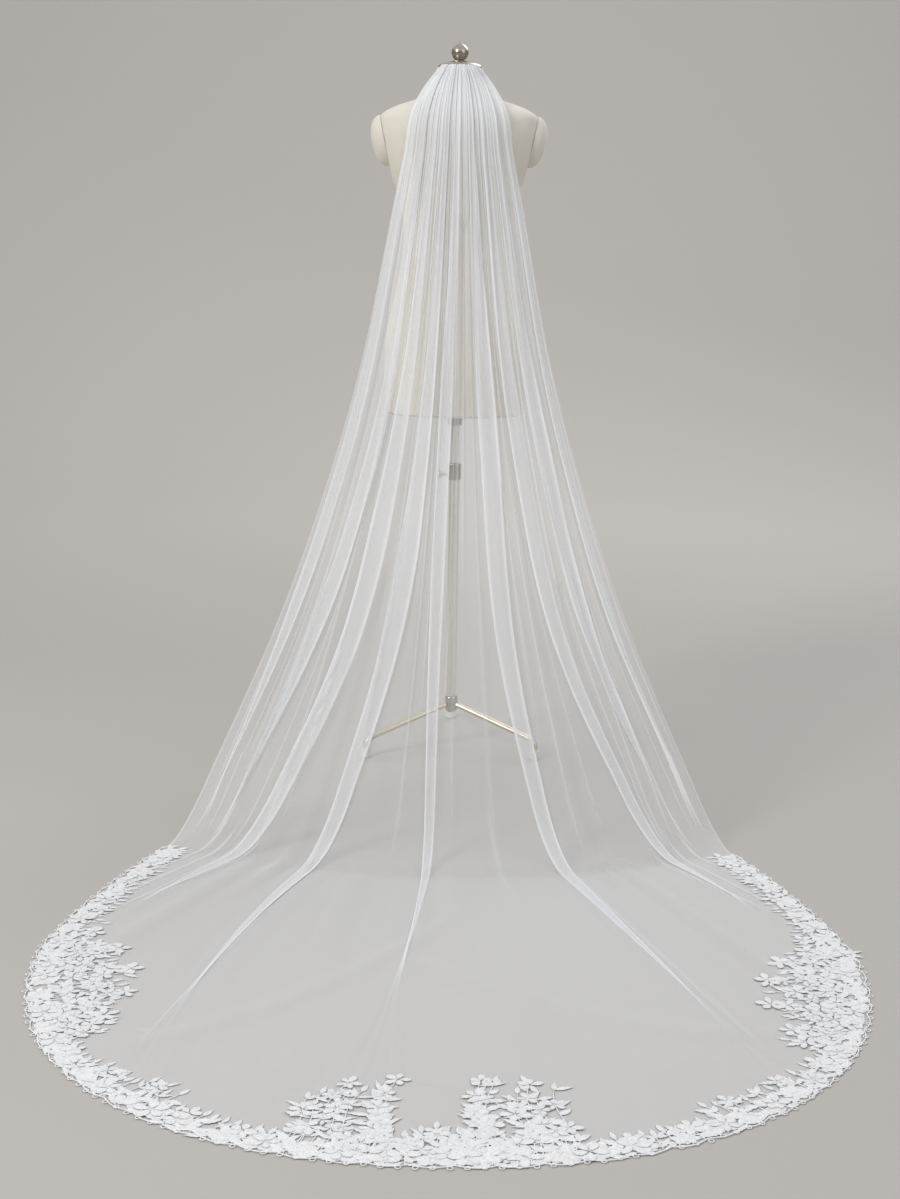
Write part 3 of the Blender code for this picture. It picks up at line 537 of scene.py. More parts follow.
# Narrow pleats: place across at their upper and lower ends, level of those ends, height, half width
# across, haze that they add
PLEATS = (
    (-0.97, -0.95, 1.45, 0.05, 0.003, 0.012, 0.30),
    (-0.78, -0.80, 1.20, 0.10, 0.003, 0.014, 0.24),
    (-0.57, -0.70, 1.50, -0.10, 0.003, 0.013, 0.22),
    (-0.53, -0.62, 1.35, 0.15, 0.002, 0.008, 0.26),
    (-0.31, -0.40, 1.45, 0.10, 0.003, 0.012, 0.20),
    (-0.16, -0.20, 1.50, -0.05, 0.003, 0.012, 0.26),
    (-0.125, -0.145, 1.30, 0.25, 0.002, 0.007, 0.30),
    (0.05, 0.00, 1.50, 0.00, 0.003, 0.012, 0.26),
    (0.02, -0.035, 1.40, 0.20, 0.002, 0.006, 0.34),
    (0.10, 0.06, 1.50, 0.45, 0.003, 0.016, 0.18),
    (0.16, 0.16, 1.45, -0.25, 0.003, 0.020, 0.15),
    (0.33, 0.40, 1.50, 0.20, 0.003, 0.018, 0.20),
    (0.37, 0.48, 1.50, -0.05, 0.002, 0.008, 0.26),
    (0.60, 0.64, 1.45, 0.30, 0.003, 0.012, 0.28),
    (0.62, 0.80, 1.40, -0.10, 0.002, 0.008, 0.30),
    (0.80, 0.82, 1.35, 0.05, 0.003, 0.016, 0.24),
    (0.96, 0.97, 1.50, 0.05, 0.003, 0.012, 0.32),
    (-0.83, -0.90, 0.75, 0.00, 0.002, 0.007, 0.28),
    (-0.86, -0.95, 0.65, -0.02, 0.002, 0.006, 0.30),
    (-0.78, -0.85, 0.60, -0.04, 0.002, 0.008, 0.26),
    (-0.66, -0.79, 0.55, -0.06, 0.002, 0.007, 0.28),
    (-0.56, -0.64, 0.70, 0.02, 0.002, 0.006, 0.24),
    (0.78, 0.83, 0.70, -0.03, 0.002, 0.008, 0.26),
    (0.84, 0.92, 0.60, 0.00, 0.002, 0.006, 0.28),
    (0.88, 0.96, 0.75, -0.02, 0.002, 0.007, 0.30),
    (0.66, 0.79, 0.55, -0.06, 0.002, 0.007, 0.28),
    (0.48, 0.58, 0.65, 0.02, 0.002, 0.006, 0.24),
    (-0.79, -0.93, 0.06, -0.55, 0.001, 0.010, 0.34),
    (-0.84, -0.96, 0.05, -0.42, 0.001, 0.008, 0.34),
    (-0.75, -0.88, 0.04, -0.62, 0.001, 0.007, 0.30),
    (-0.67, -0.86, 0.02, -0.48, 0.001, 0.007, 0.28),
    (-0.47, -0.44, 0.05, -0.85, 0.001, 0.006, 0.24),
    (0.40, 0.46, 0.04, -0.84, 0.001, 0.006, 0.24),
    (0.70, 0.86, 0.02, -0.50, 0.001, 0.007, 0.28),
    (0.79, 0.91, 0.05, -0.55, 0.001, 0.009, 0.32),
    (0.84, 0.96, 0.05, -0.40, 0.001, 0.008, 0.32),
)

# Creases: place across at their upper and lower ends, level of those ends, height, half width across
CREASES = (
    (-0.60, -0.66, 1.30, 0.25, 0.007, 0.050),
    (-0.37, -0.60, 0.95, -0.30, 0.006, 0.045),
    (-0.18, -0.22, 1.15, 0.10, 0.008, 0.040),
    (-0.04, 0.02, 0.90, -0.45, 0.005, 0.050),
    (0.13, 0.17, 1.25, 0.30, 0.008, 0.045),
    (0.40, 0.52, 1.05, -0.20, 0.007, 0.040),
    (0.64, 0.82, 0.85, -0.10, 0.006, 0.035),
    (-0.80, -0.84, 1.10, -0.05, 0.005, 0.030),
    (0.84, 0.88, 1.20, 0.00, 0.005, 0.030),
    (-0.62, -0.75, 0.20, -0.75, 0.0035, 0.050),
    (-0.30, -0.18, 0.05, -0.85, 0.0030, 0.060),
    (0.20, 0.12, 0.02, -0.70, 0.0028, 0.050),
    (0.56, 0.66, 0.10, -0.80, 0.0035, 0.045),
    (0.04, -0.50, -0.20, -0.92, 0.0022, 0.040),
    (-0.15, 0.58, -0.35, -0.88, 0.0020, 0.040),
)


def hanging(across, height):
    """The hanging cloth: the section at a height is a shallow arc, bowed backwards."""
    table = np.array(VEIL_SECTIONS)
    width, middle, edge = (smooth(height, table[:, 0], table[:, i]) for i in (1, 2, 3))
    depth = edge + (middle - edge) * (1 - across**2)
    return np.stack([width * across, POLE_Y - depth, np.full_like(across, height)], axis=-1)


def hem(across):
    """The rounded end of the train: half a superellipse from side edge to side edge."""
    angle = np.pi / 2 * across * (1.17 - 0.17 * across**2)
    power = 2 / TRAIN_SQUARENESS
    x = TRAIN_HALF_WIDTH * np.sign(across) * np.abs(np.sin(angle)) ** power
    y = -SIDE_EDGE_END - (TRAIN_REACH - SIDE_EDGE_END) * np.abs(np.cos(angle)) ** power
    return np.stack([x, POLE_Y + y, np.zeros_like(x)], axis=-1)


def on_floor(across, along):
    """The train: from the line where the cloth meets the floor, along 0, to the hem, along 1."""
    point = hanging(across, 0.0) * (1 - along) + hem(across) * along
    point[..., 0] += SIDE_EDGE_BULGE * along * (1 - along) * across * np.abs(across)
    return point


def cloth(across, way):
    """The veil without its folds. way runs 0 to 1 down the hanging cloth, 1 to 2 round the bend at
    the floor, where each line follows a quadratic curve, and 2 to 3 along the train."""
    if way <= 1:
        return hanging(across, VEIL_TOP + (BEND_START - VEIL_TOP) * way)
    if way >= 2:
        return on_floor(across, BEND_END + (1 - BEND_END) * (way - 2))
    t = way - 1
    above, corner, beyond = hanging(across, BEND_START), hanging(across, 0.0), on_floor(across, BEND_END)
    return (1 - t) ** 2 * above + 2 * t * (1 - t) * corner + t**2 * beyond


def cloth_frame(across, way):
    """Points of the cloth without folds and the directions that point out of it."""
    step = 1e-4
    sideways = cloth(across + step, way) - cloth(across - step, way)
    onwards = cloth(across, min(way + step, 3.0)) - cloth(across, max(way - step, 0.0))
    out = np.cross(onwards, sideways)
    return cloth(across, way), out / np.linalg.norm(out, axis=-1, keepdims=True)


def level(way):
    """The level of a row: the height while the cloth hangs, then minus the share of the train."""
    return np.interp(way, (0, 1, 2, 3), (VEIL_TOP, BEND_START, -BEND_END, -1.0))


def ridge(across, here, top, bottom, start, end, half_width):
    """A bell shaped ridge along a line across the cloth that runs from one level to another; it rises
    and fades over a sixth of its length."""
    part = (start - here) / (start - end)
    line = top + (bottom - top) * np.clip(part, 0, 1)
    return np.clip(6 * min(part, 1 - part), 0, 1) * bell((across - line) / half_width)


def relief(across, here):
    """How far gathers, pleats and creases stand off the cloth: sines over the width, never below 0,
    and ridges."""
    gathers = sum(
        share * (1 + np.sin(2 * np.pi * waves * across + phase + drift * here * 2)) / 2
        for waves, share, phase, drift in GATHERS
    )
    height = np.interp(here, *zip(*GATHER_HEIGHTS)) * gathers
    for top, bottom, start, end, rise, half_width, *_ in (*CREASES, *PLEATS):
        height = height + rise * ridge(across, here, top, bottom, start, end, half_width)
    return height * np.interp(np.abs(across), (0.93, 1.0), (1.0, 0.15))


def stacking(across, here):
    """The share of light that narrow pleats and fine gathers stop beyond the cloth's own haze. Fine
    gathers are sines over the width, sharpened to streaks by a power."""
    passed = 1.0
    for top, bottom, start, end, _, half_width, gain in PLEATS:
        passed = passed * (1 - gain * ridge(across, here, top, bottom, start, end, half_width))
    strength = np.interp(here, *zip(*FINE_LEVELS))
    for waves, phase, drift, gain in FINE_GATHERS:
        streak = ((1 + np.sin(2 * np.pi * waves * across + phase + drift * here)) / 2) ** 3
        passed = passed * (1 - strength * gain * streak)
    return 1 - passed


def fold_line(here, way):
    """The section at one level as corners: distance across, height off the cloth and a mark that is 1
    where the cloth turns over. Each fold has three layers that spread flat at its tail."""
    dense = np.linspace(-1, 1, 401)
    lengths = np.linalg.norm(np.diff(cloth(dense, way), axis=0), axis=1)
    measured = np.concatenate([[0.0], np.cumsum(lengths)])
    measured -= measured[200]
    centres = np.interp([smooth(here, FOLD_LEVELS, row[:5]) for row in FOLDS], dense, measured)
    pitch = np.diff(np.concatenate([[measured[0] * 1.02], centres, [measured[-1] * 1.02]]))
    room = np.interp(here, (0.9, 1.5), (0.72, 0.40)) * np.minimum(pitch[:-1], pitch[1:])
    widths = np.minimum([row[5] for row in FOLDS], room) * np.interp(here, *zip(*FOLD_WIDTHS))
    gap = np.interp(here, *zip(*LAYER_GAPS))
    sides = np.array([-1, 1, 1, -1, -1, 1])
    layers = np.array([0, 0, 1, 1, 2, 2])
    hem_spacing = np.minimum(HEM_SPACING, 0.15 * np.minimum(pitch[:-1], pitch[1:]))
    line = [(measured[0], 0.0, 0.0)]
    for index, row in enumerate(FOLDS):
        lean, tail = row[6:]
        taper = 0.0 if tail > 0.1 else TAPER_START
        closed = np.clip((here + tail) / (taper + tail), 0, 1) ** 0.8
        spacing = np.interp(-here, (tail, 1.0), (FLAT_SPACING, hem_spacing[index]))
        spread = (np.arange(6) - 2.5) * spacing
        across = centres[index] + closed * widths[index] / 2 * sides + (1 - closed) * spread
        height = min(1.0, 2.5 * closed) * gap * (layers if lean > 0 else layers[::-1])
        last_across, last_height, _ = line[-1]
        span = across[0] - last_across
        if index == 0:
            line.append((last_across + span / 2, 0.0, 0.0))
        elif span > 2 * STEP_DOWN and last_height + height[0] > 0:
            for u in (last_across + STEP_DOWN, last_across + span / 2, across[0] - STEP_DOWN):
                line.append((u, 0.0, 0.0))
        else:
            for part in (0.25, 0.5, 0.75):
                line.append((last_across + span * part, last_height + (height[0] - last_height) * part, 0.0))
        turns = min(1.0, 2.5 * closed) * np.array([0, 1, 1, 1, 1, 0])
        line.extend(zip(across, height, turns))
    last_across, last_height, _ = line[-1]
    line.append(((last_across + measured[-1]) / 2, last_height / 2, 0.0))
    line.append((measured[-1], 0.0, 0.0))
    return np.array(line), dense, measured


def column_shares():
    """Where the fine columns lie along the corners of the section, counted in corners, and how close
    each is to a turned edge: 1 on a turn, falling by a power towards the middle of a layer."""
    steps = [BETWEEN_COLUMNS] * 2
    for _ in FOLDS:
        steps += [LAYER_COLUMNS, TURN_COLUMNS, LAYER_COLUMNS, TURN_COLUMNS, LAYER_COLUMNS]
        steps += [BETWEEN_COLUMNS] * 4
    steps = steps[:-2]
    shares, edges = [], []
    for corner, count in enumerate(steps):
        part = np.arange(count) / count
        if count == LAYER_COLUMNS:
            part = (1 - np.cos(np.pi * part)) / 2
        shares.append(corner + part)
        edges.append(np.abs(2 * part - 1) ** EDGE_POWER if count == LAYER_COLUMNS else np.ones(count))
    return np.append(np.concatenate(shares), len(steps)), np.append(np.concatenate(edges), 0.0)


def tulle_surface():
    """The folded section at each row, its corners rounded by averaging neighbours, laid on the cloth's
    surface and moved out of it by the fold's height and the relief of gathers and creases."""
    ways = np.concatenate([
        np.linspace(0, 1, HANGING_STEPS, endpoint=False),
        np.linspace(1, 2, BEND_STEPS, endpoint=False),
        np.linspace(2, 3, FLOOR_STEPS),
    ])
    shares, near_turn = column_shares()
    points, density, places = [], [], []
    for way in ways:
        here = level(way)
        line, dense, measured = fold_line(here, way)
        corners = np.arange(len(line))
        fine = np.column_stack([np.interp(shares, corners, line[:, i]) for i in range(3)])
        for _ in range(3):
            fine[1:-1] = fine[1:-1] / 2 + (fine[2:] + fine[:-2]) / 4
        across = np.interp(fine[:, 0], measured, dense)
        base, out = cloth_frame(across, way)
        height = fine[:, 1] + WALL / 2 + relief(across, here)
        points.append(base + out * height[:, None])
        selvedge = np.interp(1 - np.abs(across), (0.0, 0.012), (0.25, 0.0))
        haze = np.interp(here, *zip(*HAZE))
        edges = np.interp(here, *zip(*EDGE_MARKS)) * fine[:, 2] ** 2 * near_turn
        extra = 1 - (1 - np.clip(edges + selvedge, 0, 1)) * (1 - stacking(across, here))
        density.append(haze + (1 - haze) * extra)
        down = np.full(len(shares), CUT_LENGTH * way / 3)
        places.append(np.column_stack([shares / shares[-1] * CUT_WIDTH, down]))
    return np.array(points), np.array(places), np.array(density)


tulle = Finish("soft_tulle", Base_Color=(0.90, 0.91, 0.93, 1.0), Roughness=0.55, Sheen_Weight=0.35,
               Sheen_Roughness=0.35, Specular_IOR_Level=0.2)
net_place = tulle.place("UV")
haze = tulle.node("ShaderNodeAttribute", {"attribute_name": "haze"}, output=2)
streaks = tulle.noise(tulle.stretched(net_place, (60.0, 1.1, 1.0)), 1.0, 2.0)
holes = (tulle.axis(net_place, "X") * 4200.0).sine() * (tulle.axis(net_place, "Y") * 4200.0).sine()
grazing = tulle.node("ShaderNodeLayerWeight", None, {"Blend": 0.5}, output=1)
thread = haze * (0.88 + streaks * 0.24) + holes * 0.02
tulle.feed(Alpha=(thread + (1 - thread) * grazing ** 3 * 0.55).clamped())
tulle.bump(streaks, 0.0006, 0.5)

points, places, density = (grid[:, ::-1] for grid in tulle_surface())
veil = add_surfaces("veil_of_tulle", [(points, places)], tulle)
held_haze = veil.data.attributes.new("haze", "FLOAT", "POINT")
held_haze.data.foreach_set("value", density.ravel().astype(np.float32))
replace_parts(veil, "veil_tulle")

# Ribbon and comb. A satin ribbon is sewn over the gathers on the inner side of the top edge, and a
# clear comb is sewn to it, so that the veil can be pushed into hair.

RIBBON_HEIGHTS = (1.6245, 1.6240, 1.614, 1.6045, 1.604)
RIBBON_LIFTS = (-0.0004, -0.0011, -0.0013, -0.0011, -0.0004)
RIBBON_HALF_WIDTH = 0.93
COMB_BAR = (1.601, 1.612)
COMB_HALF_LENGTH = 0.039
COMB_TEETH = 22
COMB_RADIUS = 0.0011

# Height and depth behind the pole of the comb's bar and teeth, a little off the neck
COMB_DEPTHS = ((1.576, 0.0660), (1.588, 0.0612), (1.601, 0.0577), (1.612, 0.0556))


def on_neckline(across, height, lift):
    """Points of the veil's upper end: place across, height and distance off the cloth."""
    rows = []
    for a, z, d in zip(across, height, lift):
        base, out = cloth_frame(np.array([a]), (VEIL_TOP - z) / (VEIL_TOP - BEND_START))
        rows.append(base[0] + out[0] * d)
    return np.array(rows)


satin = Finish("ribbon_satin", Base_Color=(0.88, 0.88, 0.87, 1.0), Sheen_Weight=0.2)
weave = satin.noise(satin.stretched(satin.place("UV"), (40.0, 1500.0, 1.0)), 1.0)
satin.feed(Roughness=0.28 + weave * 0.2)
satin.bump(weave, 0.0001)

across = np.linspace(-RIBBON_HALF_WIDTH, RIBBON_HALF_WIDTH, 121)
ruck = 0.0002 * np.sin(across * 70)
strips = [
    on_neckline(across, np.full_like(across, z), lift + ruck * (lift < -0.001))
    for z, lift in zip(RIBBON_HEIGHTS, RIBBON_LIFTS)
]
ribbon_grid = np.array(strips + strips[:1])
middles = np.broadcast_to(ribbon_grid[:-1].mean(axis=0), ribbon_grid.shape)
ribbon_grid = np.concatenate([middles[:, :1], ribbon_grid, middles[:, -1:]], axis=1)
ribbon = add_surfaces(
    "gathering_ribbon", [(ribbon_grid, plain_uv(*ribbon_grid.shape[:2], 0.13, 0.02))], satin, outward=True,
)
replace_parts(ribbon, "gather_ribbon")

comb_plastic = Finish("comb_plastic", Base_Color=(0.86, 0.86, 0.84, 1.0), Coat_Weight=0.5)
clouds = comb_plastic.noise(comb_plastic.place(), 120.0)
comb_plastic.feed(Roughness=0.16 + clouds * 0.12)
comb_plastic.bump(clouds, 0.0002)

comb_heights, comb_depths = np.array(COMB_DEPTHS).T
rods = []
for height in COMB_BAR:
    x = np.linspace(-COMB_HALF_LENGTH, COMB_HALF_LENGTH, 25)
    depth = np.interp(height, comb_heights, comb_depths)
    path = np.column_stack([x, np.full_like(x, POLE_Y - depth), np.full_like(x, height)])
    rods.append(rod(path, (0.0, 0.0, 1.0), COMB_RADIUS, sides=8))
for x in np.linspace(-COMB_HALF_LENGTH + COMB_RADIUS, COMB_HALF_LENGTH - COMB_RADIUS, COMB_TEETH):
    height = np.linspace(COMB_BAR[1], comb_heights[0], 8)
    depth = np.interp(height, comb_heights, comb_depths)
    path = np.column_stack([np.full_like(height, x), POLE_Y - depth, height])
    rods.append(rod(path, (1.0, 0.0, 0.0), COMB_RADIUS * 0.8, sides=8))
comb = add_surfaces("veil_comb", rods, comb_plastic, outward=True)
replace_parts(comb, "comb")

# The lace. Machine-embroidered motifs cut out and sewn along the train's edge: a scalloped cord, a row
# of rosettes, stems with pairs of leaves and five-petalled blossoms. Each leaf and petal has a raised
# rim and midrib with satin stitches between.

LACE_START = 0.09
LACE_INSET = 0.003
STEM_SPACING = 0.104
LEAF_STEP = 0.025
BORDER_DEPTH = 0.050
LACE_LIFT = 0.0009
STEM_RADIUS = 0.0009
CORD_RADIUS = 0.0011
BLOSSOM_RADIUS = 0.025
ROSETTE_RADIUS = 0.031
ROSETTE_SPACING = 0.062
SCALLOP = 0.007
TOOTH_SHARE = 0.20
PICOT_SPACING = 0.024
PICOT_RADIUS = 0.0042
LEAF_MISSES = 0.26
BLOSSOM_PETALS = 5
BETWEEN_DEPTH = 0.024
ROSETTE_PETALS = 8
ROSETTE_DEPTH = 0.020
RIM_LEAF_MARGIN = 0.012
RIM_LEAF_SPACING = 0.042
LENGTH_GAP = 0.0015

# Place along the edge as a share of its length, half length along it, reach beyond the border and how
# far its branches spread as a share of the space between stems
SPRAYS = (
    (0.205, 0.27, 0.130, 1.0),
    (0.345, 0.12, 0.035, 1.0),
    (0.440, 0.060, 0.150, 0.72),
    (0.4675, 0.045, 0.155, 0.14),
    (0.494, 0.30, 0.058, 1.0),
    (0.518, 0.045, 0.155, 0.14),
    (0.5465, 0.060, 0.155, 0.72),
    (0.655, 0.12, 0.035, 1.0),
    (0.795, 0.27, 0.130, 1.0),
)
BRANCHES = (-0.38, -0.19, 0.0, 0.19, 0.38)
LACE_LENGTHS = (
    ("lace_left", 0.000, 0.210),
    ("lace_front_left", 0.210, 0.392),
    ("lace_front", 0.392, 0.596),
    ("lace_front_right", 0.596, 0.790),
    ("lace_right", 0.790, 1.000),
)


def train_edge():
    """The train's edge from the left side's first touch of the floor round to the right's: points, the
    directions into the cloth and the distance along the edge."""
    along = np.linspace(LACE_START, 1, 60)
    left = np.array([on_floor(np.array([-1.0]), t)[0] for t in along])
    right = left[::-1] * (-1, 1, 1)
    points = np.vstack([left, hem(np.linspace(-1, 1, 241))[1:-1], right])[:, :2]
    runs = headings(points)
    inward = np.stack([-runs[:, 1], runs[:, 0]], axis=1)
    distance = np.concatenate([[0.0], np.cumsum(np.linalg.norm(np.diff(points, axis=0), axis=1))])
    return points, inward, distance


EDGE, INWARD, DISTANCE = train_edge()


def spot(place, depth):
    """The point at a distance along the edge and a depth in from it, and the direction inwards."""
    base = np.stack([np.interp(place, DISTANCE, EDGE[:, i]) for i in (0, 1)], axis=-1)
    into = np.stack([np.interp(place, DISTANCE, INWARD[:, i]) for i in (0, 1)], axis=-1)
    into /= np.linalg.norm(into, axis=-1, keepdims=True)
    return base + into * np.asarray(depth)[..., None], into


def motif(bases, angles, lengths, widths, lifts, tilts, fullness):
    """Many leaves or petals at once. Across a leaf the height has a raised rim and midrib; along it the
    half width follows a sine to a power, so that fullness below 1 gives a round petal, and every other
    row is drawn in, which gives a ragged rim."""
    along = np.linspace(0, 1, 10)
    across = np.array([1.0, 0.74, 0.12, -0.12, -0.74, -1.0])
    ridge = np.array([0.25, 1.0, 0.15, 0.9, 1.0, 0.25])
    ridge[2:4] = 0.95
    t, s = np.meshgrid(along, across, indexing="ij")
    outline = np.sin(np.pi * np.clip(t * 0.97 + 0.015, 0, 1) ** (0.8 if fullness >= 1 else 1.35)) ** fullness
    outline = outline * (1 - TOOTH_SHARE * (np.arange(len(along)) % 2))[:, None]
    dome = np.sin(np.pi * t) ** 0.5
    local = np.stack([t, s * outline / 2, 0.0004 + 0.0005 * ridge[None, :] * dome], axis=-1)
    cos, sin = np.cos(angles)[:, None, None], np.sin(angles)[:, None, None]
    u = local[None, ..., 0] * lengths[:, None, None]
    v = local[None, ..., 1] * widths[:, None, None]
    x = bases[:, 0, None, None] + u * cos - v * sin
    y = bases[:, 1, None, None] + u * sin + v * cos
    z = LACE_LIFT + local[None, ..., 2] + lifts[:, None, None] + u * tilts[:, None, None]
    uv = np.broadcast_to(np.stack([s, t], axis=-1), x.shape + (2,))
    return [(np.stack(p, axis=-1), q) for p, q in zip(zip(x, y, z), uv)]


def leaf_rows(start, end, seed):
    """Places of the leaves, petals and stems of one length of lace."""
    chance = np.random.default_rng(seed)
    total = DISTANCE[-1]
    first, last = start * total + LENGTH_GAP, end * total - LENGTH_GAP
    leaves, petals, stems = [], [], []

    def add_leaf(base, angle, length, width, lift=0.0, tilt=0.0):
        leaves.append((*base, angle, length, width, lift, tilt))

    def add_blossom(centre, radius, turn, lift):
        for petal in range(BLOSSOM_PETALS):
            angle = turn + petal * 2 * np.pi / BLOSSOM_PETALS + chance.uniform(-0.15, 0.15)
            base = centre + 0.08 * radius * np.array([np.cos(angle), np.sin(angle)])
            long = radius * chance.uniform(0.75, 1.10)
            wide = radius * chance.uniform(0.50, 0.72)
            petals.append((*base, angle, long, wide, lift, chance.uniform(0.0, 0.03)))

    count = int(round((last - first) / STEM_SPACING))
    spacing = (last - first) / count
    for number in range(count):
        place = first + (number + 0.5) * spacing
        rises = [rise * max(0.0, 1 - ((place - middle * total) / half) ** 2) for middle, half, rise, _ in SPRAYS]
        reach = BORDER_DEPTH + sum(rises)
        nearest = SPRAYS[int(np.argmax(rises))]
        spread = nearest[3] if reach > BORDER_DEPTH else 1.0
        low = BORDER_DEPTH + sum(rise for rise, spray in zip(rises, SPRAYS) if spray[3] == 1.0)
        branches = [(branch, reach) for branch in BRANCHES]
        if spread < 1.0:
            reach = low + nearest[2]
            branches = [(branch * spread, reach) for branch in BRANCHES]
            branches += [(branch, low) for branch in BRANCHES if branch != 0]
            place = nearest[0] * total
        for branch, far_end in branches:
            length = far_end * (1.0 if branch == 0 else chance.uniform(0.66, 0.96))
            sway = chance.uniform(-0.05, 0.05) + branch * 0.25
            depth = np.linspace(LACE_INSET, length, 10)
            root = place + branch * spacing
            path, into = spot(root + sway * depth + 0.06 * depth * np.sin(depth * 30), depth)
            stems.append(path)
            runs = np.gradient(path, axis=0)
            heading = np.arctan2(runs[:, 1], runs[:, 0])
            steps = np.arange(0.008, length, LEAF_STEP)
            for step, far in enumerate(steps):
                base = np.array([np.interp(far, depth, path[:, i]) for i in (0, 1)])
                ahead = np.interp(far, depth, heading)
                size = 1.0 - 0.25 * far / length
                for side in (-1, 1):
                    if chance.random() < LEAF_MISSES:
                        continue
                    swing = side * np.radians(chance.uniform(20, 80))
                    add_leaf(
                        base, ahead + swing,
                        size * chance.uniform(0.024, 0.046), size * chance.uniform(0.010, 0.018),
                        chance.uniform(0, 0.0009), chance.uniform(0.0, 0.02),
                    )
            tip = path[-1]
            if branch == 0:
                centre = tip - into[-1] * 0.010
                add_blossom(centre, BLOSSOM_RADIUS * chance.uniform(0.75, 1.0), heading[-1], 0.0012)
            else:
                add_leaf(tip, heading[-1], 0.024, 0.010)
            if far_end > 2 * BORDER_DEPTH:
                for row in (4, 7):
                    add_blossom(path[row], BLOSSOM_RADIUS * chance.uniform(0.6, 0.9), chance.uniform(0, 1.2), 0.0014)
        centre, _ = spot(place + 0.5 * spacing * (number < count - 1), BETWEEN_DEPTH)
        add_blossom(centre, BLOSSOM_RADIUS * chance.uniform(0.8, 1.05), chance.uniform(0, 1.2), 0.0016)
    rosettes = int(round((last - first) / ROSETTE_SPACING))
    for number in range(rosettes):
        place = first + (number + 0.5) * (last - first) / rosettes
        centre, into = spot(place, ROSETTE_DEPTH + chance.uniform(-0.003, 0.003))
        radius = ROSETTE_RADIUS * chance.uniform(0.85, 1.0)
        for petal in range(ROSETTE_PETALS):
            angle = petal * 2 * np.pi / ROSETTE_PETALS + chance.uniform(-0.2, 0.2)
            outward = -into[0] * np.cos(angle) - into[1] * np.sin(angle)
            long = radius * (1.0 - 0.30 * max(outward, 0.0)) * chance.uniform(0.75, 1.0)
            wide = radius * chance.uniform(0.36, 0.54)
            petals.append((*centre, angle, long, wide, chance.uniform(0, 0.0008), 0.0))
    for place in np.arange(first + RIM_LEAF_MARGIN, last - RIM_LEAF_MARGIN, RIM_LEAF_SPACING):
        base, into = spot(place, chance.uniform(0.006, 0.014))
        ahead = np.arctan2(-into[0], into[1])
        for side in (-1, 1):
            add_leaf(
                base, ahead + (np.pi if side > 0 else 0) + side * chance.uniform(0.1, 0.45),
                chance.uniform(0.024, 0.036), chance.uniform(0.009, 0.014), chance.uniform(0, 0.0008), 0.0,
            )
    turn = np.linspace(0, 2 * np.pi, 9)
    for place in np.arange(first + PICOT_SPACING / 2, last - PICOT_SPACING / 2, PICOT_SPACING):
        centre, _ = spot(place, LACE_INSET - chance.uniform(0.004, 0.008))
        stems.append(centre + PICOT_RADIUS * np.column_stack([np.cos(turn), np.sin(turn)]))
    return np.array(leaves), np.array(petals), stems


def scalloped_cord(start, end):
    """The cord on the train's edge: it swings out round each rosette in a shallow scallop."""
    first, last = start * DISTANCE[-1] + LENGTH_GAP, end * DISTANCE[-1] - LENGTH_GAP
    place = np.linspace(first, last, 420)
    rosettes = int(round((last - first) / ROSETTE_SPACING))
    swing = np.abs(np.sin(np.pi * rosettes * (place - first) / (last - first)))
    return spot(place, LACE_INSET - SCALLOP * swing)[0]


thread_white = Finish("lace_thread", Sheen_Weight=0.15, Sheen_Roughness=0.5, Specular_IOR_Level=0.25)
stitch_place = thread_white.place("UV")
across_leaf = thread_white.axis(stitch_place, "X")
slant = across_leaf.math("ABSOLUTE", across_leaf) * 0.35
stitches = ((thread_white.axis(stitch_place, "Y") + slant) * 120.0).sine()
# Painted shade: a noise of spots some 4 mm across turns the white thread grey-blue at random, standing in for the
# small shadows between stitches and petals; the same noise also varies the roughness.
body = thread_white.noise(thread_white.place(), 260.0)
painted_shade = (body * 2.4 - 0.7).clamped()
thread_white.feed(
    Base_Color=thread_white.mixed(painted_shade, (0.92, 0.92, 0.925, 1.0), (0.74, 0.75, 0.77, 1.0)),
    Roughness=0.50 + body * 0.25,
)
thread_white.bump(stitches * 0.5 + 0.5, 0.0003, 0.6)

for seed, (name, start, end) in enumerate(LACE_LENGTHS, start=11):
    leaves, petals, stems = leaf_rows(start, end, seed)
    grids = motif(leaves[:, :2], *leaves[:, 2:].T, fullness=1.1)
    grids += motif(petals[:, :2], *petals[:, 2:].T, fullness=0.62)
    threads = [(stem, STEM_RADIUS) for stem in stems] + [(scalloped_cord(start, end), CORD_RADIUS)]
    for path, radius in threads:
        runs = headings(path)
        side = np.column_stack([-runs[:, 1], runs[:, 0], np.zeros(len(path))])
        raised = np.column_stack([path, np.full(len(path), LACE_LIFT + radius)])
        grids.append(rod(raised, side, radius, sides=6))
    piece = add_surfaces(name + "_embroidered", grids, thread_white)
    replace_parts(piece, name)

# The room. A pale floor that curves up into a round wall, soft studio light and the camera. None of it
# belongs to the object.

ROOM_RADIUS = 10.0
ROOM_CORNER = 5.0
ROOM_HEIGHT = 5.6
CAMERA_DISTANCE = 4.22
CAMERA_HEIGHT = 1.281
CAMERA_SIDE = -0.006
CAMERA_DOWN = 12.19
CAMERA_ROLL = 0.79
FOCAL_PIXELS = 1753.0
PHOTO_HEIGHT = 1199.0
FILM_HEIGHT = 36.0

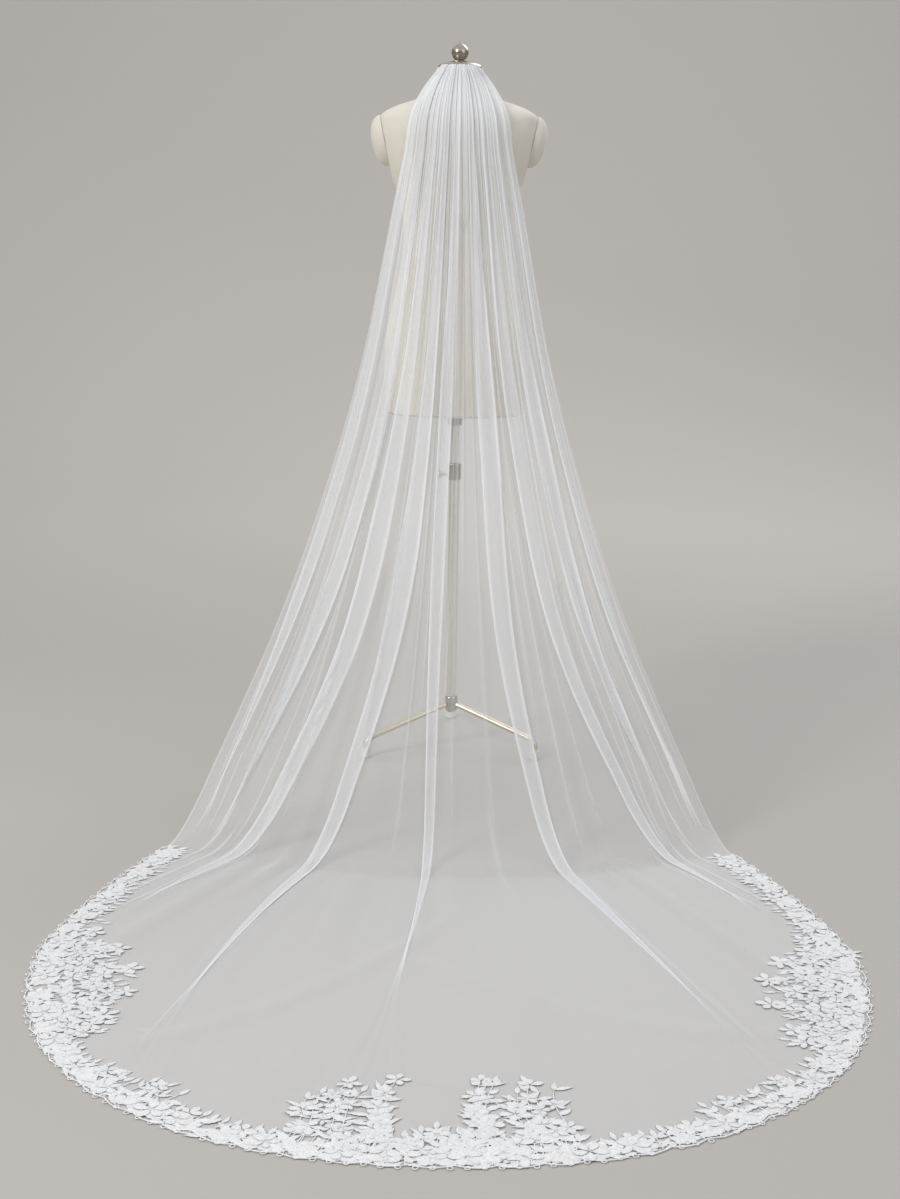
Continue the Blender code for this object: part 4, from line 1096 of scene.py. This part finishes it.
arc = np.linspace(0, np.pi / 2, 16)
reach = np.concatenate([[0.0], ROOM_RADIUS - ROOM_CORNER * (1 - np.sin(arc)), [ROOM_RADIUS]])
rise = np.concatenate([[0.0], ROOM_CORNER * (1 - np.cos(arc)), [ROOM_HEIGHT]])
turn = np.linspace(0, 2 * np.pi, 97)
room_grid = np.stack(
    [np.outer(reach, np.cos(turn)), np.outer(reach, np.sin(turn)), np.outer(rise, np.ones_like(turn))], axis=-1,
)
wall_paint = Finish("studio_floor", Base_Color=(0.46, 0.44, 0.415, 1.0), Roughness=0.85,
                    Specular_IOR_Level=0.15)
room = add_surfaces(
    "studio_floor", [(room_grid, plain_uv(*room_grid.shape[:2], 1, 1))], wall_paint, rides=False,
)


def area_light(name, place, target, size, power, colour):
    """A square soft light that looks at a point."""
    lamp = bpy.data.lights.new(name, "AREA")
    lamp.shape, lamp.size, lamp.energy, lamp.color = "SQUARE", size, power, colour
    made = bpy.data.objects.new(name, lamp)
    made.location = place
    aim = np.array(target) - np.array(place)
    tilt, heading = np.arctan2(np.hypot(aim[0], aim[1]), -aim[2]), np.arctan2(aim[1], aim[0])
    made.rotation_euler = (tilt, 0.0, heading - np.pi / 2)
    bpy.context.scene.collection.objects.link(made)


area_light("key_light", (-3.4, -2.4, 3.6), (0.0, 0.0, 0.6), 1.6, 115.0, (1.0, 0.985, 0.96))
area_light("fill_light", (3.8, -2.6, 2.8), (0.0, 0.0, 0.7), 3.0, 30.0, (0.96, 0.98, 1.0))
area_light("back_light", (2.2, 4.2, 4.2), (0.0, 0.3, 0.9), 2.6, 70.0, (1.0, 1.0, 1.0))
area_light("backdrop_light", (0.0, 4.5, 5.0), (0.0, 9.5, 2.2), 4.0, 110.0, (1.0, 1.0, 1.0))

world = bpy.data.worlds.new("studio")
world.use_nodes = True
world.node_tree.nodes["Background"].inputs["Color"].default_value = (0.95, 0.97, 1.0, 1.0)
world.node_tree.nodes["Background"].inputs["Strength"].default_value = 0.80
scene = bpy.context.scene
scene.world = world
scene.view_settings.view_transform = "Standard"
scene.cycles.transparent_max_bounces = 48

lens = bpy.data.cameras.new("camera")
lens.sensor_fit = "VERTICAL"
lens.sensor_height = FILM_HEIGHT
lens.lens = FOCAL_PIXELS / PHOTO_HEIGHT * FILM_HEIGHT
camera = bpy.data.objects.new("camera", lens)
camera.rotation_mode = "XYZ"
camera.location = (CAMERA_SIDE, POLE_Y - CAMERA_DISTANCE, CAMERA_HEIGHT)
camera.rotation_euler = (np.radians(90 - CAMERA_DOWN), 0.0, 0.0)
camera.rotation_euler.rotate_axis("Z", np.radians(CAMERA_ROLL))
scene.collection.objects.link(camera)
scene.camera = camera
